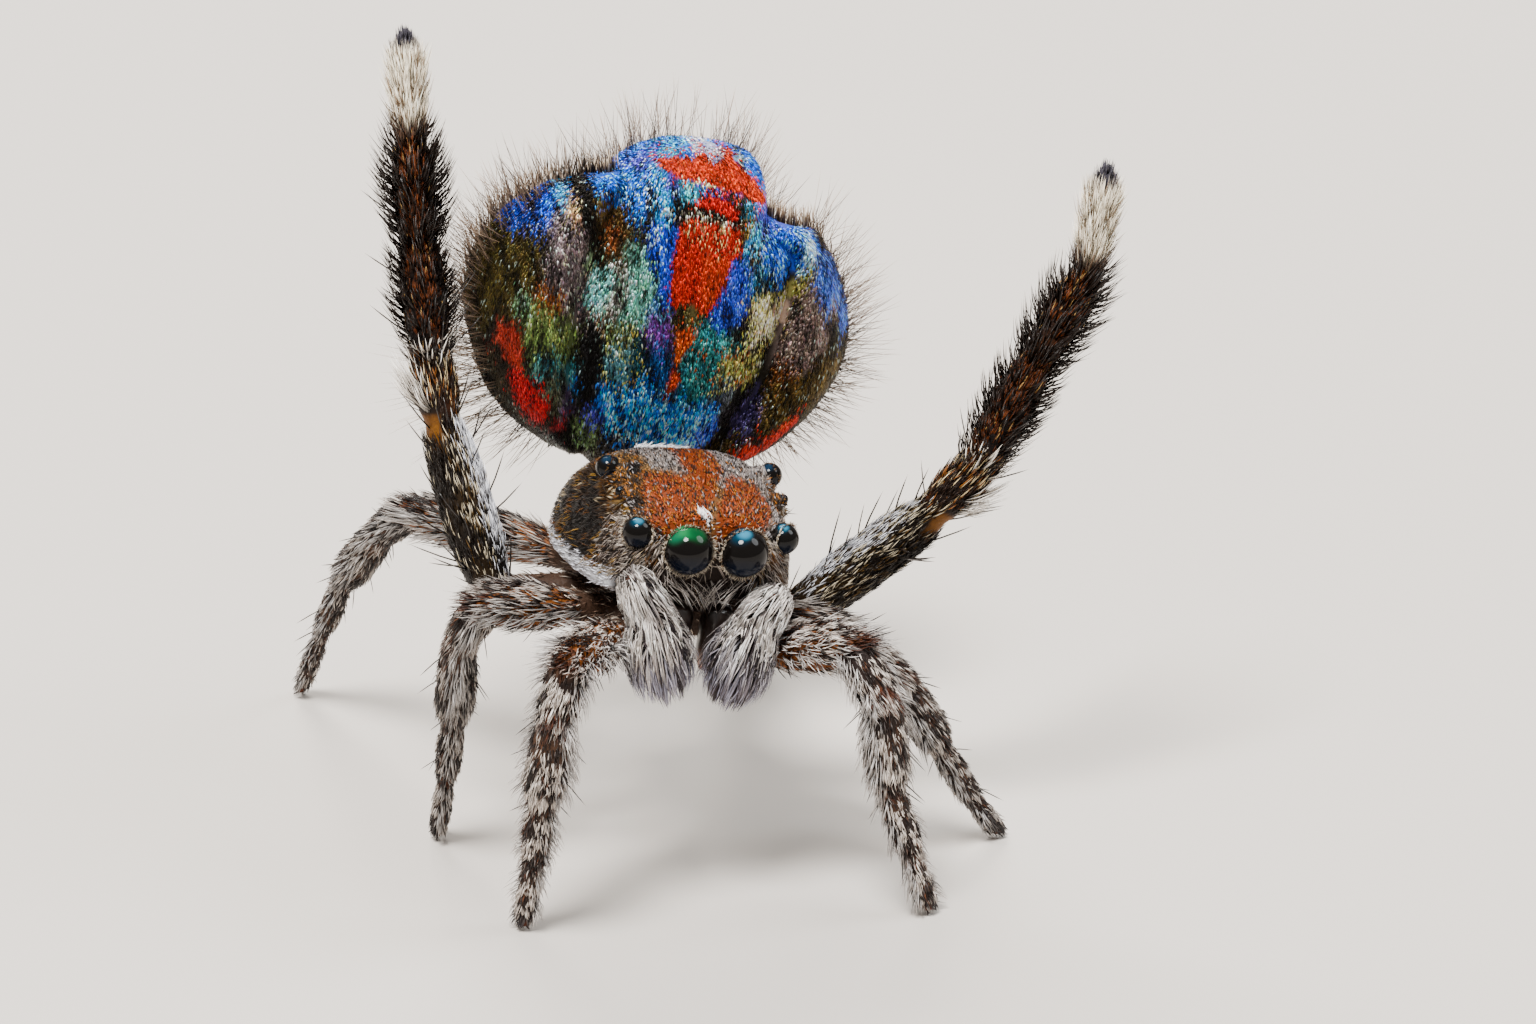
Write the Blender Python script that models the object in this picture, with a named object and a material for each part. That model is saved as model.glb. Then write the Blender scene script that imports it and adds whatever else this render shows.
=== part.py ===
"""A male peacock spider, life size, standing still with its fan and its third legs raised.

The spider faces -Y, its left side is +X, +Z is up and it stands on z = 0. Every size is in
millimetres while the pieces are made, and finish() scales the meshes to metres. Pieces of
the head and the abdomen are laid out in the body frame, whose origin lies inside the
carapace and which leans with the body. Pieces of the legs are laid out in the floor frame.
"""
import math
import random

import bpy
import bmesh
from mathutils import Matrix, Vector

MM = 0.001
GAP = 0.035
SEED = 11

# Locks of hair: depth of the root, thickness as a share of the width, where they are widest
# and how wide the root is
LOCK_ROOT = 0.06
LOCK_FLATNESS = 0.36
LOCK_WIDEST = 0.45
LOCK_NARROWING = 0.75

# The body frame
BODY_HEIGHT = 2.6
BODY_ROLL = math.radians(11)

# The carapace, front to back: place, half width, height of the top and of the lower margin
CARAPACE_STATIONS = (
    (-1.14, 0.36, 0.76, 0.26),
    (-1.08, 0.62, 0.88, 0.19),
    (-0.92, 0.81, 0.97, 0.13),
    (-0.72, 0.87, 1.03, 0.08),
    (-0.40, 0.91, 1.08, 0.02),
    (-0.02, 0.94, 1.08, -0.02),
    (0.34, 0.95, 0.94, -0.03),
    (0.66, 0.88, 0.70, -0.02),
    (0.90, 0.74, 0.46, 0.00),
    (1.06, 0.54, 0.28, 0.03),
    (1.13, 0.34, 0.18, 0.06),
)
CARAPACE_LIP = 0.05
CARAPACE_BOXINESS = 3.8
CARAPACE_TAPER = 0.08
CARAPACE_SIDES = 18

# The eyes: place and radius on the left side, mirrored on the right
EYES = {
    "eye_front_middle": ((0.257, -1.149, 0.617), 0.222, 16),
    "eye_front_side": ((0.679, -0.965, 0.685), 0.140, 12),
    "eye_small": ((0.765, -0.58, 0.90), 0.045, 8),
    "eye_back_side": ((0.760, -0.18, 0.955), 0.110, 12),
}
EYE_CLEARANCE = 0.03
# Low mounds that the side eyes sit on: place on the left side and radius
EYE_MOUNDS = (((0.600, -0.84, 0.65), 0.19), ((0.725, -0.57, 0.87), 0.07),
              ((0.690, -0.19, 0.900), 0.135))

# The chelicerae: height, place along the body and radius down each lobe
CHELICERA_X = 0.185
CHELICERA_RINGS = ((0.05, -0.98, 0.12), (-0.02, -1.00, 0.14), (-0.25, -1.01, 0.14),
                   (-0.48, -1.00, 0.115), (-0.60, -0.99, 0.065))

# The palps: root, base, knee, wrist and tip of each, in the body frame
PALPS = {
    "right": ((-0.28, -0.55, -0.25), (-0.47, -1.00, -0.20), (-0.755, -1.30, 0.345),
              (-0.590, -1.42, 0.095), (-0.385, -1.45, -0.45)),
    "left": ((0.28, -0.55, -0.25), (0.45, -1.00, -0.20), (0.590, -1.30, 0.235),
             (0.390, -1.42, 0.060), (0.245, -1.45, -0.49)),
}
PALP_ARM_RADIUS = 0.095
PALP_TIP_RADIUS = 0.215
PALP_SWELL = ((0.24, 0.85), (0.46, 1.0), (0.74, 0.96), (0.93, 0.62))
PALP_LOCK = 0.25
PALP_CUFF = 0.20
CLYPEUS_LOCK = 0.24

# The underside, a plate between the coxae
UNDERSIDE_FRONT = -0.70
UNDERSIDE_BACK = 0.92
UNDERSIDE_HALF_WIDTH = 0.50
UNDERSIDE_TOP = -0.125
UNDERSIDE_DEPTH = 0.40

# The legs. A hip is the outer end of a coxa, in the body frame, on the right and the left.
HIPS = {
    1: ((-0.74, -0.96, -0.35), (0.74, -0.96, -0.35)),
    2: ((-0.97, -0.32, -0.35), (0.97, -0.32, -0.35)),
    3: ((-1.42, 0.31, -0.50), (1.41, 0.14, -0.47)),
    4: ((-0.71, 1.03, -0.35), (0.71, 1.03, -0.35)),
}
COXA_RADIUS = 0.17
COXA_START = (0.45, 0.62)
# Lengths of the femur, patella, tibia, metatarsus and tarsus of each pair
LENGTHS = {
    1: (1.05, 0.50, 0.88, 0.66, 0.60),
    2: (0.80, 0.48, 0.88, 0.68, 0.62),
    3: (1.68, 0.57, 1.08, 0.87, 0.92),
    4: (1.40, 0.50, 0.90, 0.72, 0.62),
}
# Half thickness in the middle of the same lengths
THICKNESS = {
    1: (0.215, 0.185, 0.190, 0.135, 0.105),
    2: (0.205, 0.170, 0.175, 0.120, 0.095),
    3: (0.235, 0.195, 0.200, 0.180, 0.125),
    4: (0.215, 0.165, 0.170, 0.115, 0.090),
}
# The pose: each length's heading in degrees from straight ahead, turning outwards, and rise
POSE = {
    (1, "right"): ((37, 13), (60, -66), (145, -80), (150, -80), (150, -80)),
    (1, "left"): ((29, 17), (24, -43), (50, -84), (67, -73), (67, -75)),
    (2, "right"): ((84, 14), (140, -60), (174, -78), (176, -74), (176, -72)),
    (2, "left"): ((45, -3), (50, -32), (88, -61), (96, -61), (92, -60)),
    (3, "right"): ((126, 74), (159, 76), (168, 79), (175, 81), (184, 78)),
    (3, "left"): ((58, 42), (74, 49), (96, 58), (106, 52), (118, 76)),
    (4, "right"): ((137, 1), (155, -38), (158, -51), (160, -62), (160, -66)),
    (4, "left"): ((151, -1), (157, -24), (158, -60), (160, -66), (160, -58)),
}
JOINT_WAIST = 0.80
LEG_SIDES = 8

# The abdomen: the body of the fan. The fan frame stands on the pedicel and leans a little
# further than the body; its heights and edges below are places in it.
FAN_BASE = (0.08, 0.0, 0.16)
FAN_LEAN = math.radians(5)
FAN_HEIGHT = 3.18
FAN_HALF_WIDTH = 1.04
FAN_FRONT = 0.62
FAN_BACK = 0.80
FAN_PLANE_LOW = 1.62
FAN_PLANE_HIGH = 1.70
FAN_BOXINESS = 2.5
FAN_SIDES = 20
FAN_RINGS = 12
# How far the left shoulder of the abdomen is drawn in, and the height where that starts
SHOULDER = 0.26
SHOULDER_HEIGHT = 2.30
# Each flap: height, distance of its outer edge from the middle of the fan
FLAP_EDGES = {
    "right": ((0.16, 0.70), (0.30, 1.02), (0.52, 1.34), (0.88, 1.60), (1.30, 1.80),
              (1.75, 1.87), (2.12, 1.79), (2.44, 1.62), (2.69, 1.38), (2.84, 1.14)),
    "left": ((0.14, 0.78), (0.28, 1.20), (0.46, 1.48), (0.74, 1.72), (1.05, 1.86),
             (1.45, 1.88), (1.82, 1.76), (2.16, 1.56), (2.46, 1.34), (2.62, 1.20)),
}
FLAP_DROOP = 0.12
FRINGE_LENGTH = 0.31
FRINGE_WIDTH = 0.20
FRINGE_SWEEP = 0.75
BEARD_LENGTH = 0.62
FLAP_THICKNESS = 0.40
FLAP_ROOT_FRONT = 0.36
FLAP_SWELL = 0.20
FLAP_SWEEP_BACK = 0.62
FLAP_COLUMNS = 6
FLAP_LOCKS = 17

PEDICEL_RADIUS = 0.11
PEDICEL_HEIGHT = 0.04
SPINNERET_HEIGHT = 2.72

COLOURS = {
    "carapace": (0.42, 0.13, 0.05), "underside": (0.10, 0.07, 0.05), "eye": (0.01, 0.02, 0.03),
    "palp": (0.62, 0.58, 0.53), "chelicera": (0.16, 0.07, 0.03), "fan": (0.04, 0.16, 0.42),
    "flap": (0.12, 0.15, 0.12), "leg": (0.35, 0.30, 0.26), "raised_leg": (0.10, 0.05, 0.03),
    "tarsus": (0.72, 0.64, 0.52),
}
ROUGHNESS = {"eye": 0.05, "fan": 0.35, "chelicera": 0.3}


def body_frame():
    """Turns a place in the body frame into one in the floor frame."""
    return Matrix.Translation((0, 0, BODY_HEIGHT)) @ Matrix.Rotation(BODY_ROLL, 4, "Y")


def side_sign(side):
    return 1 if side == "left" else -1


def mirrored(place, side, frame):
    """A place given for the left side, on either side."""
    return frame @ Vector((place[0] * side_sign(side), place[1], place[2]))


def clear_scene():
    for item in list(bpy.data.objects):
        bpy.data.objects.remove(item, do_unlink=True)


def material(slot):
    """One plain Principled finish for each kind of piece."""
    found = bpy.data.materials.get(slot)
    if found:
        return found
    made = bpy.data.materials.new(slot)
    made.use_nodes = True
    shader = made.node_tree.nodes["Principled BSDF"]
    shader.inputs["Base Color"].default_value = (*COLOURS[slot], 1)
    shader.inputs["Roughness"].default_value = ROUGHNESS.get(slot, 0.6)
    shader.inputs["Metallic"].default_value = 0.0
    return made


def add_object(name, shape, slot):
    """Makes an object of a bmesh, with its faces turned outwards."""
    bmesh.ops.recalc_face_normals(shape, faces=shape.faces)
    bmesh.ops.triangulate(shape, faces=shape.faces)
    mesh = bpy.data.meshes.new(name)
    shape.to_mesh(mesh)
    shape.free()
    item = bpy.data.objects.new(name, mesh)
    bpy.context.scene.collection.objects.link(item)
    mesh.materials.append(material(slot))
    return item


def loft(rings, end_pole=None, curved_ends=False):
    """A closed skin through rings of equal count.

    It ends in a point at end_pole, or flat. Ends that aren't flat are closed by a strip of
    faces between the first and the second half of the ring.
    """
    shape = bmesh.new()
    loops = [[shape.verts.new(place) for place in ring] for ring in rings]
    count = len(loops[0])
    for low, high in zip(loops, loops[1:]):
        for index in range(count):
            after = (index + 1) % count
            shape.faces.new((low[index], low[after], high[after], high[index]))
    closed = [loops[0]] if end_pole else [loops[0], loops[-1]]
    for loop in closed:
        if curved_ends:
            for index in range(count // 2 - 1):
                shape.faces.new((loop[index], loop[index + 1], loop[-2 - index],
                                 loop[-1 - index]))
        else:
            shape.faces.new(loop)
    if end_pole:
        tip = shape.verts.new(end_pole)
        for index in range(count):
            shape.faces.new((loops[-1][index], loops[-1][(index + 1) % count], tip))
    return shape


def rounded(angle, power):
    """A point of a superellipse of unit size."""
    across = math.copysign(abs(math.cos(angle)) ** (2 / power), math.cos(angle))
    up = math.copysign(abs(math.sin(angle)) ** (2 / power), math.sin(angle))
    return across, up


def perpendicular(direction, hint):
    across = direction.cross(hint)
    if across.length < 1e-3:
        across = direction.cross(Vector((1, 0.3, 0.2)))
    return across.normalized()


def swept(points, sizes, start_cut, end_cut, flank, sides=LEG_SIDES):
    """Rings of a tube along points, each in the plane that halves the bend there.

    start_cut and end_cut are a point and a normal of the planes that end the tube. flank is
    the direction that stays level across every ring.
    """
    rings = []
    last = len(points) - 1
    for number, (point, size) in enumerate(zip(points, sizes)):
        before = (point - points[number - 1]).normalized() if number else None
        after = (points[number + 1] - point).normalized() if number < last else None
        along = before or after
        plane_point = point
        plane_normal = (before + after).normalized() if before and after else along
        if number == 0:
            plane_point, plane_normal = start_cut
        elif number == last:
            plane_point, plane_normal = end_cut
        up = perpendicular(flank, along)
        across = perpendicular(along, up)
        ring = []
        for step in range(sides):
            angle = 2 * math.pi * (step + 0.5) / sides
            place = point + up * size * math.sin(angle) + across * size * math.cos(angle)
            reach = (plane_point - place).dot(plane_normal) / along.dot(plane_normal)
            ring.append(place + along * reach)
        rings.append(ring)
    return rings


def largest_closed(mesh):
    """Keeps the largest closed surface of a mesh and drops any scrap."""
    shape = bmesh.new()
    shape.from_mesh(mesh)
    left = set(shape.verts)
    shells = []
    while left:
        stack = [left.pop()]
        shell = set(stack)
        while stack:
            for edge in stack.pop().link_edges:
                for vertex in edge.verts:
                    if vertex in left:
                        left.discard(vertex)
                        shell.add(vertex)
                        stack.append(vertex)
        shells.append(shell)
    biggest = max(shells, key=len)
    scraps = [vertex for shell in shells if shell is not biggest for vertex in shell]
    bmesh.ops.delete(shape, geom=scraps, context="VERTS")
    bmesh.ops.triangulate(shape, faces=shape.faces)
    shape.to_mesh(mesh)
    shape.free()


def combine(base, pieces, operation="UNION", solver="EXACT"):
    """Joins closed pieces to base, or cuts them out of it, and removes them."""
    if not pieces:
        return base
    group = bpy.data.collections.new("pieces")
    bpy.context.scene.collection.children.link(group)
    for piece in pieces:
        bpy.context.scene.collection.objects.unlink(piece)
        group.objects.link(piece)
    step = base.modifiers.new("combine", "BOOLEAN")
    step.operation = operation
    step.solver = solver
    step.operand_type = "COLLECTION"
    step.collection = group
    graph = bpy.context.evaluated_depsgraph_get()
    mesh = bpy.data.meshes.new_from_object(base.evaluated_get(graph))
    base.modifiers.clear()
    base.data = mesh
    for piece in pieces:
        bpy.data.objects.remove(piece, do_unlink=True)
    bpy.data.collections.remove(group)
    largest_closed(mesh)
    return base


def lock(root, direction, normal, length, width, bend, bristle=False):
    """A flat tapered lock of hair, or a stiffer bristle.

    It leaves root along direction, lies flat against normal, and bend is how far its tip
    has swung from a straight line.
    """
    sides = 3 if bristle else 4
    flatness = 1 if bristle else LOCK_FLATNESS
    across = perpendicular(direction, normal)
    flat = across.cross(direction)
    rings = []
    for place, breadth in ((-LOCK_ROOT / length, LOCK_NARROWING), (LOCK_WIDEST, 1.0)):
        centre = root + direction * length * place + bend * max(place, 0) ** 2
        ring = []
        for step in range(sides):
            angle = 2 * math.pi * step / sides
            offset = across * math.cos(angle) + flat * math.sin(angle) * flatness
            ring.append(centre + offset * width * breadth / 2)
        rings.append(ring)
    return add_object("lock", loft(rings, end_pole=root + direction * length + bend), "palp")


def carapace_ring(station, frame):
    place, half_width, top, margin = station
    ring = []
    for step in range(CARAPACE_SIDES):
        across, up = rounded(2 * math.pi * step / CARAPACE_SIDES, CARAPACE_BOXINESS)
        height = (top - margin) if up > 0 else CARAPACE_LIP
        reach = half_width * (1 - CARAPACE_TAPER * max(up, 0))
        ring.append(frame @ Vector((across * reach, place, margin + up * height)))
    return ring


def ball(name, centre, radius, segments, slot):
    shape = bmesh.new()
    bmesh.ops.create_uvsphere(shape, u_segments=segments, v_segments=segments * 5 // 8,
                              radius=radius, matrix=Matrix.Translation(centre))
    return add_object(name, shape, slot)


def clypeus_locks(frame):
    """The pale fringe below the front eyes, which hangs over the chelicerae."""
    turn = frame.to_3x3()
    direction = turn @ Vector((0, -0.55, -0.83)).normalized()
    normal = turn @ Vector((0, -0.83, 0.55)).normalized()
    locks = []
    for step in range(7):
        across = -0.36 + 0.12 * step
        root = frame @ Vector((across, -1.10, 0.34 - 0.03 * (step % 2)))
        sway = turn @ Vector((0.10 * across, 0.04, -0.02))
        locks.append(lock(root, direction, normal, CLYPEUS_LOCK, 0.12, sway))
    return locks


def make_carapace():
    """The head and thorax shield, hollowed where the eyes sit in it."""
    frame = body_frame()
    rings = [carapace_ring(station, frame) for station in CARAPACE_STATIONS]
    shield = add_object("carapace", loft(rings), "carapace")
    sockets = []
    for place, radius, segments in EYES.values():
        for side in ("left", "right"):
            centre = mirrored(place, side, frame)
            sockets.append(ball("socket", centre, radius + EYE_CLEARANCE,
                                max(8, segments * 5 // 8), "eye"))
    mounds = [ball("mound", mirrored(place, side, frame), radius, 8, "carapace")
              for place, radius in EYE_MOUNDS for side in ("left", "right")]
    combine(shield, mounds + clypeus_locks(frame))
    return combine(shield, sockets, "DIFFERENCE")


def make_eyes():
    frame = body_frame()
    for name, (place, radius, segments) in EYES.items():
        for side in ("left", "right"):
            ball(f"{name}_{side}", mirrored(place, side, frame), radius, segments, "eye")


def make_chelicerae():
    frame = body_frame()
    for side in ("left", "right"):
        rings = []
        for height, place, radius in CHELICERA_RINGS:
            ring = []
            for step in range(10):
                angle = 2 * math.pi * step / 10
                across = CHELICERA_X * side_sign(side) + radius * math.cos(angle)
                ring.append(frame @ Vector((across, place + radius * math.sin(angle), height)))
            rings.append(ring)
        add_object(f"chelicera_{side}", loft(rings), "chelicera")


def palp_locks(start, end, rows, count, length, width, side, frame):
    """Shaggy locks on the front and both sides of one length of a palp, hanging down it."""
    draw = random.Random(SEED)
    along = (end - start).normalized()
    front = frame.to_3x3() @ Vector((0, -1, 0))
    outer = frame.to_3x3() @ Vector((side_sign(side), 0, 0))
    locks = []
    for row, (place, radius) in enumerate(rows):
        for step in range(count):
            turn = (step + 0.5 * (row % 2)) / (count - 0.5)
            angle = math.radians(-62 + 122 * turn + draw.uniform(-5, 5))
            normal = front * math.cos(angle) + outer * math.sin(angle)
            normal = (normal - along * normal.dot(along)).normalized()
            root = start.lerp(end, place) + normal * radius * 0.8
            lean = math.radians(draw.uniform(34, 46))
            direction = along * math.cos(lean) + normal * math.sin(lean)
            bend = along * 0.05 - normal * 0.04
            reach = length * draw.uniform(0.85, 1.15)
            locks.append(lock(root, direction, normal, reach, width, bend))
    return locks


def palp_cut(side):
    """The normal of the plane between a palp's root and its arm."""
    root, base, knee = [Vector(place) for place in PALPS[side][:3]]
    middle = (base - root).normalized() + (knee - base).normalized()
    return body_frame().to_3x3() @ middle.normalized()


def make_palps():
    """Each palp is an arm that turns down at its knee and a swollen tip hanging from it."""
    frame = body_frame()
    flank = Vector((1, 0, 0))
    for side in ("left", "right"):
        base, knee, wrist, tip = [frame @ Vector(place) for place in PALPS[side][1:]]
        across = (wrist - knee).normalized()
        down = (tip - wrist).normalized()
        half = (across + down).normalized()
        points = [base, base.lerp(knee, 0.45), knee, wrist]
        sizes = [PALP_ARM_RADIUS * swell for swell in (0.85, 1.0, 1.1, 1.1)]
        end_cut = (wrist - half * GAP / 2, half)
        rings = swept(points, sizes, (base, palp_cut(side)), end_cut, flank)
        arm = add_object(f"palp_arm_{side}", loft(rings), "palp")
        combine(arm, palp_locks(knee, wrist, ((0.1, 0.10),), 5, PALP_CUFF, 0.12, side, frame))
        points = [wrist] + [wrist.lerp(tip, place) for place, swell in PALP_SWELL] + [tip]
        sizes = [PALP_ARM_RADIUS] + [PALP_TIP_RADIUS * swell for place, swell in PALP_SWELL]
        sizes.append(PALP_TIP_RADIUS * 0.3)
        rings = swept(points, sizes, (wrist + half * GAP / 2, half), (tip, down), flank)
        bulb = add_object(f"palp_tip_{side}", loft(rings), "palp")
        rows = [(place, PALP_TIP_RADIUS) for place in (0.30, 0.52, 0.76)]
        combine(bulb, palp_locks(wrist, tip, rows, 5, PALP_LOCK, 0.15, side, frame))


class Leg:
    """The joints of one leg in the floor frame, from its hip to the tip of its tarsus."""

    def __init__(self, pair, side):
        self.pair = pair
        self.side = side
        sign = side_sign(side)
        frame = body_frame()
        place = Vector(HIPS[pair][0 if side == "right" else 1])
        hip = frame @ place
        self.inner = frame @ Vector((COXA_START[0] * place.x, COXA_START[1] * place.y,
                                     UNDERSIDE_TOP - 0.22))
        self.joints = [hip]
        for number, (heading, rise) in enumerate(POSE[pair, side]):
            turn = math.radians(heading)
            lift = math.radians(rise)
            direction = Vector((sign * math.cos(lift) * math.sin(turn),
                                -math.cos(lift) * math.cos(turn), math.sin(lift)))
            length = LENGTHS[pair][number]
            if number == 4 and pair != 3:
                length = -self.joints[-1].z / direction.z
            self.joints.append(self.joints[-1] + direction * length)
        outwards = self.joints[2] + self.joints[3] - 2 * hip
        self.flank = Vector((-outwards.y, outwards.x, 0)).normalized()

    def direction(self, number):
        """Of the coxa at 0, the femur at 1 and so on."""
        if number == 0:
            return (self.joints[0] - self.inner).normalized()
        return (self.joints[number] - self.joints[number - 1]).normalized()

    def cut(self, number, push):
        """The plane across the joint at this number, moved along the leg by push."""
        normal = (self.direction(number) + self.direction(number + 1)).normalized()
        return self.joints[number] + normal * push, normal

    def waist(self, number):
        """Half thickness at a joint, less than in the middle of its two lengths."""
        if number == 0:
            return COXA_RADIUS
        here = THICKNESS[self.pair][number - 1]
        after = THICKNESS[self.pair][number] if number < 5 else here
        return JOINT_WAIST * min(here, after)

    def bend_room(self, number):
        """Length that a slanting end face takes up along the leg."""
        if number == 5:
            return 0.03
        slant = self.direction(number).angle(self.direction(number + 1)) / 2
        widest = max(THICKNESS[self.pair][max(number - 1, 0):number + 1])
        return widest * math.tan(min(slant, 1.0)) + 0.03

    def stations(self, number, places):
        """Points and sizes between joint number - 1 and joint number."""
        start = self.joints[number - 1]
        end = self.joints[number]
        length = (end - start).length
        first = self.bend_room(number - 1)
        last = length - self.bend_room(number)
        thick = THICKNESS[self.pair][number - 1]
        points = [start]
        sizes = [self.waist(number - 1)]
        if last > first:
            for place, swell in places:
                points.append(start.lerp(end, (first + (last - first) * place) / length))
                sizes.append(thick * swell)
        return points, sizes, end

    def coat(self, number, rows, count, length, lean, width, bristle):
        """Locks or bristles in rings round one length of the leg, leaning to its tip.

        rows are places along it from 0 to 1, count is how many stand in a row, and lean is
        their angle from the leg in degrees. One that would reach the floor is left out.
        """
        draw = random.Random(SEED * 100 + self.pair * 10 + number)
        start = self.joints[number - 1]
        end = self.joints[number]
        along = self.direction(number)
        up = perpendicular(self.flank, along)
        across = perpendicular(along, up)
        locks = []
        for row, place in enumerate(rows):
            for step in range(count):
                turn = (step + 0.5 * (row % 2) + draw.uniform(-0.12, 0.12)) / count
                angle = 2 * math.pi * turn
                normal = across * math.cos(angle) + up * math.sin(angle)
                root = start.lerp(end, place) + normal * THICKNESS[self.pair][number - 1] * 0.9
                tilt = math.radians(lean + draw.uniform(-7, 7))
                direction = along * math.cos(tilt) + normal * math.sin(tilt)
                reach = length * draw.uniform(0.85, 1.15)
                bend = (along - normal) * reach * 0.14
                if (root + direction * reach * 1.1).z > FLOOR_CLEARANCE:
                    locks.append(lock(root, direction, normal, reach, width, bend, bristle))
        return locks


FEMUR_SHAPE = ((0.0, 0.95), (0.4, 1.06), (1.0, 0.88))
PATELLA_SHAPE = ((0.0, 0.96), (0.6, 1.04), (1.0, 0.92))
TIBIA_SHAPE = ((0.0, 0.95), (0.45, 1.06), (1.0, 0.9))
THIN_SHAPE = ((0.0, 1.0), (0.5, 1.03), (1.0, 0.9))
SHAPES = (FEMUR_SHAPE, PATELLA_SHAPE, TIBIA_SHAPE, THIN_SHAPE, THIN_SHAPE)
FLOOR_CLEARANCE = 0.03
# Coats of a raised leg and of a standing one: rows, count in a row, length, lean, width and
# whether they are bristles
RAISED_COAT = {
    1: ((0.30, 0.64), 4, 0.30, 40, 0.05, True),
    2: ((0.40,), 4, 0.20, 32, 0.09, False),
    3: ((0.12, 0.40, 0.68), 5, 0.32, 38, 0.13, False),
    4: ((0.10, 0.38, 0.66), 5, 0.30, 38, 0.13, False),
    5: ((0.10, 0.34, 0.60), 4, 0.34, 20, 0.16, False),
}
STANDING_COAT = {
    1: ((0.45,), 4, 0.20, 34, 0.06, True),
    3: ((0.28, 0.64), 3, 0.20, 36, 0.06, True),
    4: ((0.30, 0.68), 3, 0.18, 34, 0.05, True),
}
PART_NAMES = ("femur", "patella", "tibia", "metatarsus", "tarsus")


def make_leg(leg):
    """A leg's lengths, each cut flat at its joints, with a foot that stands on the floor."""
    name = f"leg_{leg.pair}_{leg.side}"
    slot = "raised_leg" if leg.pair == 3 else "leg"
    coat = RAISED_COAT if leg.pair == 3 else STANDING_COAT
    for number in range(1, 6):
        if leg.pair != 3 and number == 4:
            break
        points, sizes, end = leg.stations(number, SHAPES[number - 1])
        points.append(end)
        start_cut = leg.cut(number - 1, GAP / 2)
        if number < 5:
            sizes.append(leg.waist(number))
            end_cut = leg.cut(number, -GAP / 2)
            rings = swept(points, sizes, start_cut, end_cut, leg.flank)
            piece = add_object(f"{name}_{PART_NAMES[number - 1]}", loft(rings), slot)
            if number in coat:
                combine(piece, leg.coat(number, *coat[number]))
            continue
        sizes.append(THICKNESS[3][4] * 0.45)
        rings = swept(points, sizes, start_cut, (end, leg.direction(5)), leg.flank)
        piece = add_object(f"{name}_tarsus", loft(rings), "tarsus")
        combine(piece, leg.coat(5, *coat[5]))
    if leg.pair != 3:
        points, sizes, ankle = leg.stations(4, SHAPES[3])
        more_points, more_sizes, foot = leg.stations(5, SHAPES[4])
        more_sizes[0] = leg.waist(4)
        rings = swept(points + more_points + [foot],
                      sizes + more_sizes + [THICKNESS[leg.pair][4] * 0.8],
                      leg.cut(3, GAP / 2), (Vector((0, 0, 0)), Vector((0, 0, 1))), leg.flank)
        piece = add_object(f"{name}_foot", loft(rings), slot)
        combine(piece, leg.coat(4, *coat[4]))


def make_underside(legs):
    """The plate under the carapace with the eight coxae that carry the legs."""
    frame = body_frame()
    rings = []
    count = 6
    for number in range(count + 1):
        t = number / count
        place = UNDERSIDE_FRONT + (UNDERSIDE_BACK - UNDERSIDE_FRONT) * t
        swell = (1 - (2 * t - 1) ** 4 * 0.55) ** 0.5
        ring = []
        for step in range(12):
            across, up = rounded(2 * math.pi * step / 12, 2.6)
            height = UNDERSIDE_TOP + (up - 1) * UNDERSIDE_DEPTH / 2 * swell
            ring.append(frame @ Vector((across * UNDERSIDE_HALF_WIDTH * swell, place, height)))
        rings.append(ring)
    plate = add_object("underside", loft(rings), "underside")
    coxae = []
    for leg in legs:
        hip = leg.joints[0]
        sizes = [COXA_RADIUS * 0.85, COXA_RADIUS]
        rings = swept([leg.inner, hip], sizes, (leg.inner, leg.direction(0)),
                      leg.cut(0, -GAP / 2), leg.flank)
        coxae.append(add_object("coxa", loft(rings), "underside"))
    for side in ("left", "right"):
        root = frame @ Vector(PALPS[side][0])
        base = frame @ Vector(PALPS[side][1])
        cut = palp_cut(side)
        end = (base - cut * GAP, cut)
        rings = swept([root, base], [PALP_ARM_RADIUS * 0.8, PALP_ARM_RADIUS * 0.85],
                      (root, (base - root).normalized()), end, Vector((1, 0, 0)), 8)
        coxae.append(add_object("palp_coxa", loft(rings), "underside"))
    return combine(plate, coxae)


def fan_frame():
    """Turns a place in the fan frame into one in the floor frame."""
    return body_frame() @ Matrix.Translation(FAN_BASE) @ Matrix.Rotation(FAN_LEAN, 4, "Y")


def fan_section(height):
    """Half width, front depth, back depth and middle plane of the abdomen at a height."""
    t = min(max(height / FAN_HEIGHT, 0.0), 1.0)
    swell = (1 - abs(2 * t ** 1.25 - 1) ** 2.5) ** (1 / 2.5)
    back = (1 - abs(2 * t ** 0.95 - 1) ** 2.1) ** (1 / 2.1)
    plane = FAN_PLANE_LOW + (FAN_PLANE_HIGH - FAN_PLANE_LOW) * t ** 0.7
    return FAN_HALF_WIDTH * swell, FAN_FRONT * swell, FAN_BACK * back, plane


def drawn_in(across, height):
    """Place across of a point of the abdomen, whose left shoulder slopes more than its right."""
    up = min(max((height - SHOULDER_HEIGHT) / 0.35, 0.0), 1.0)
    out = min(max((across - 0.30) / 0.65, 0.0), 1.0)
    return across - SHOULDER * up * up * (3 - 2 * up) * out * out * (3 - 2 * out)


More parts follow.
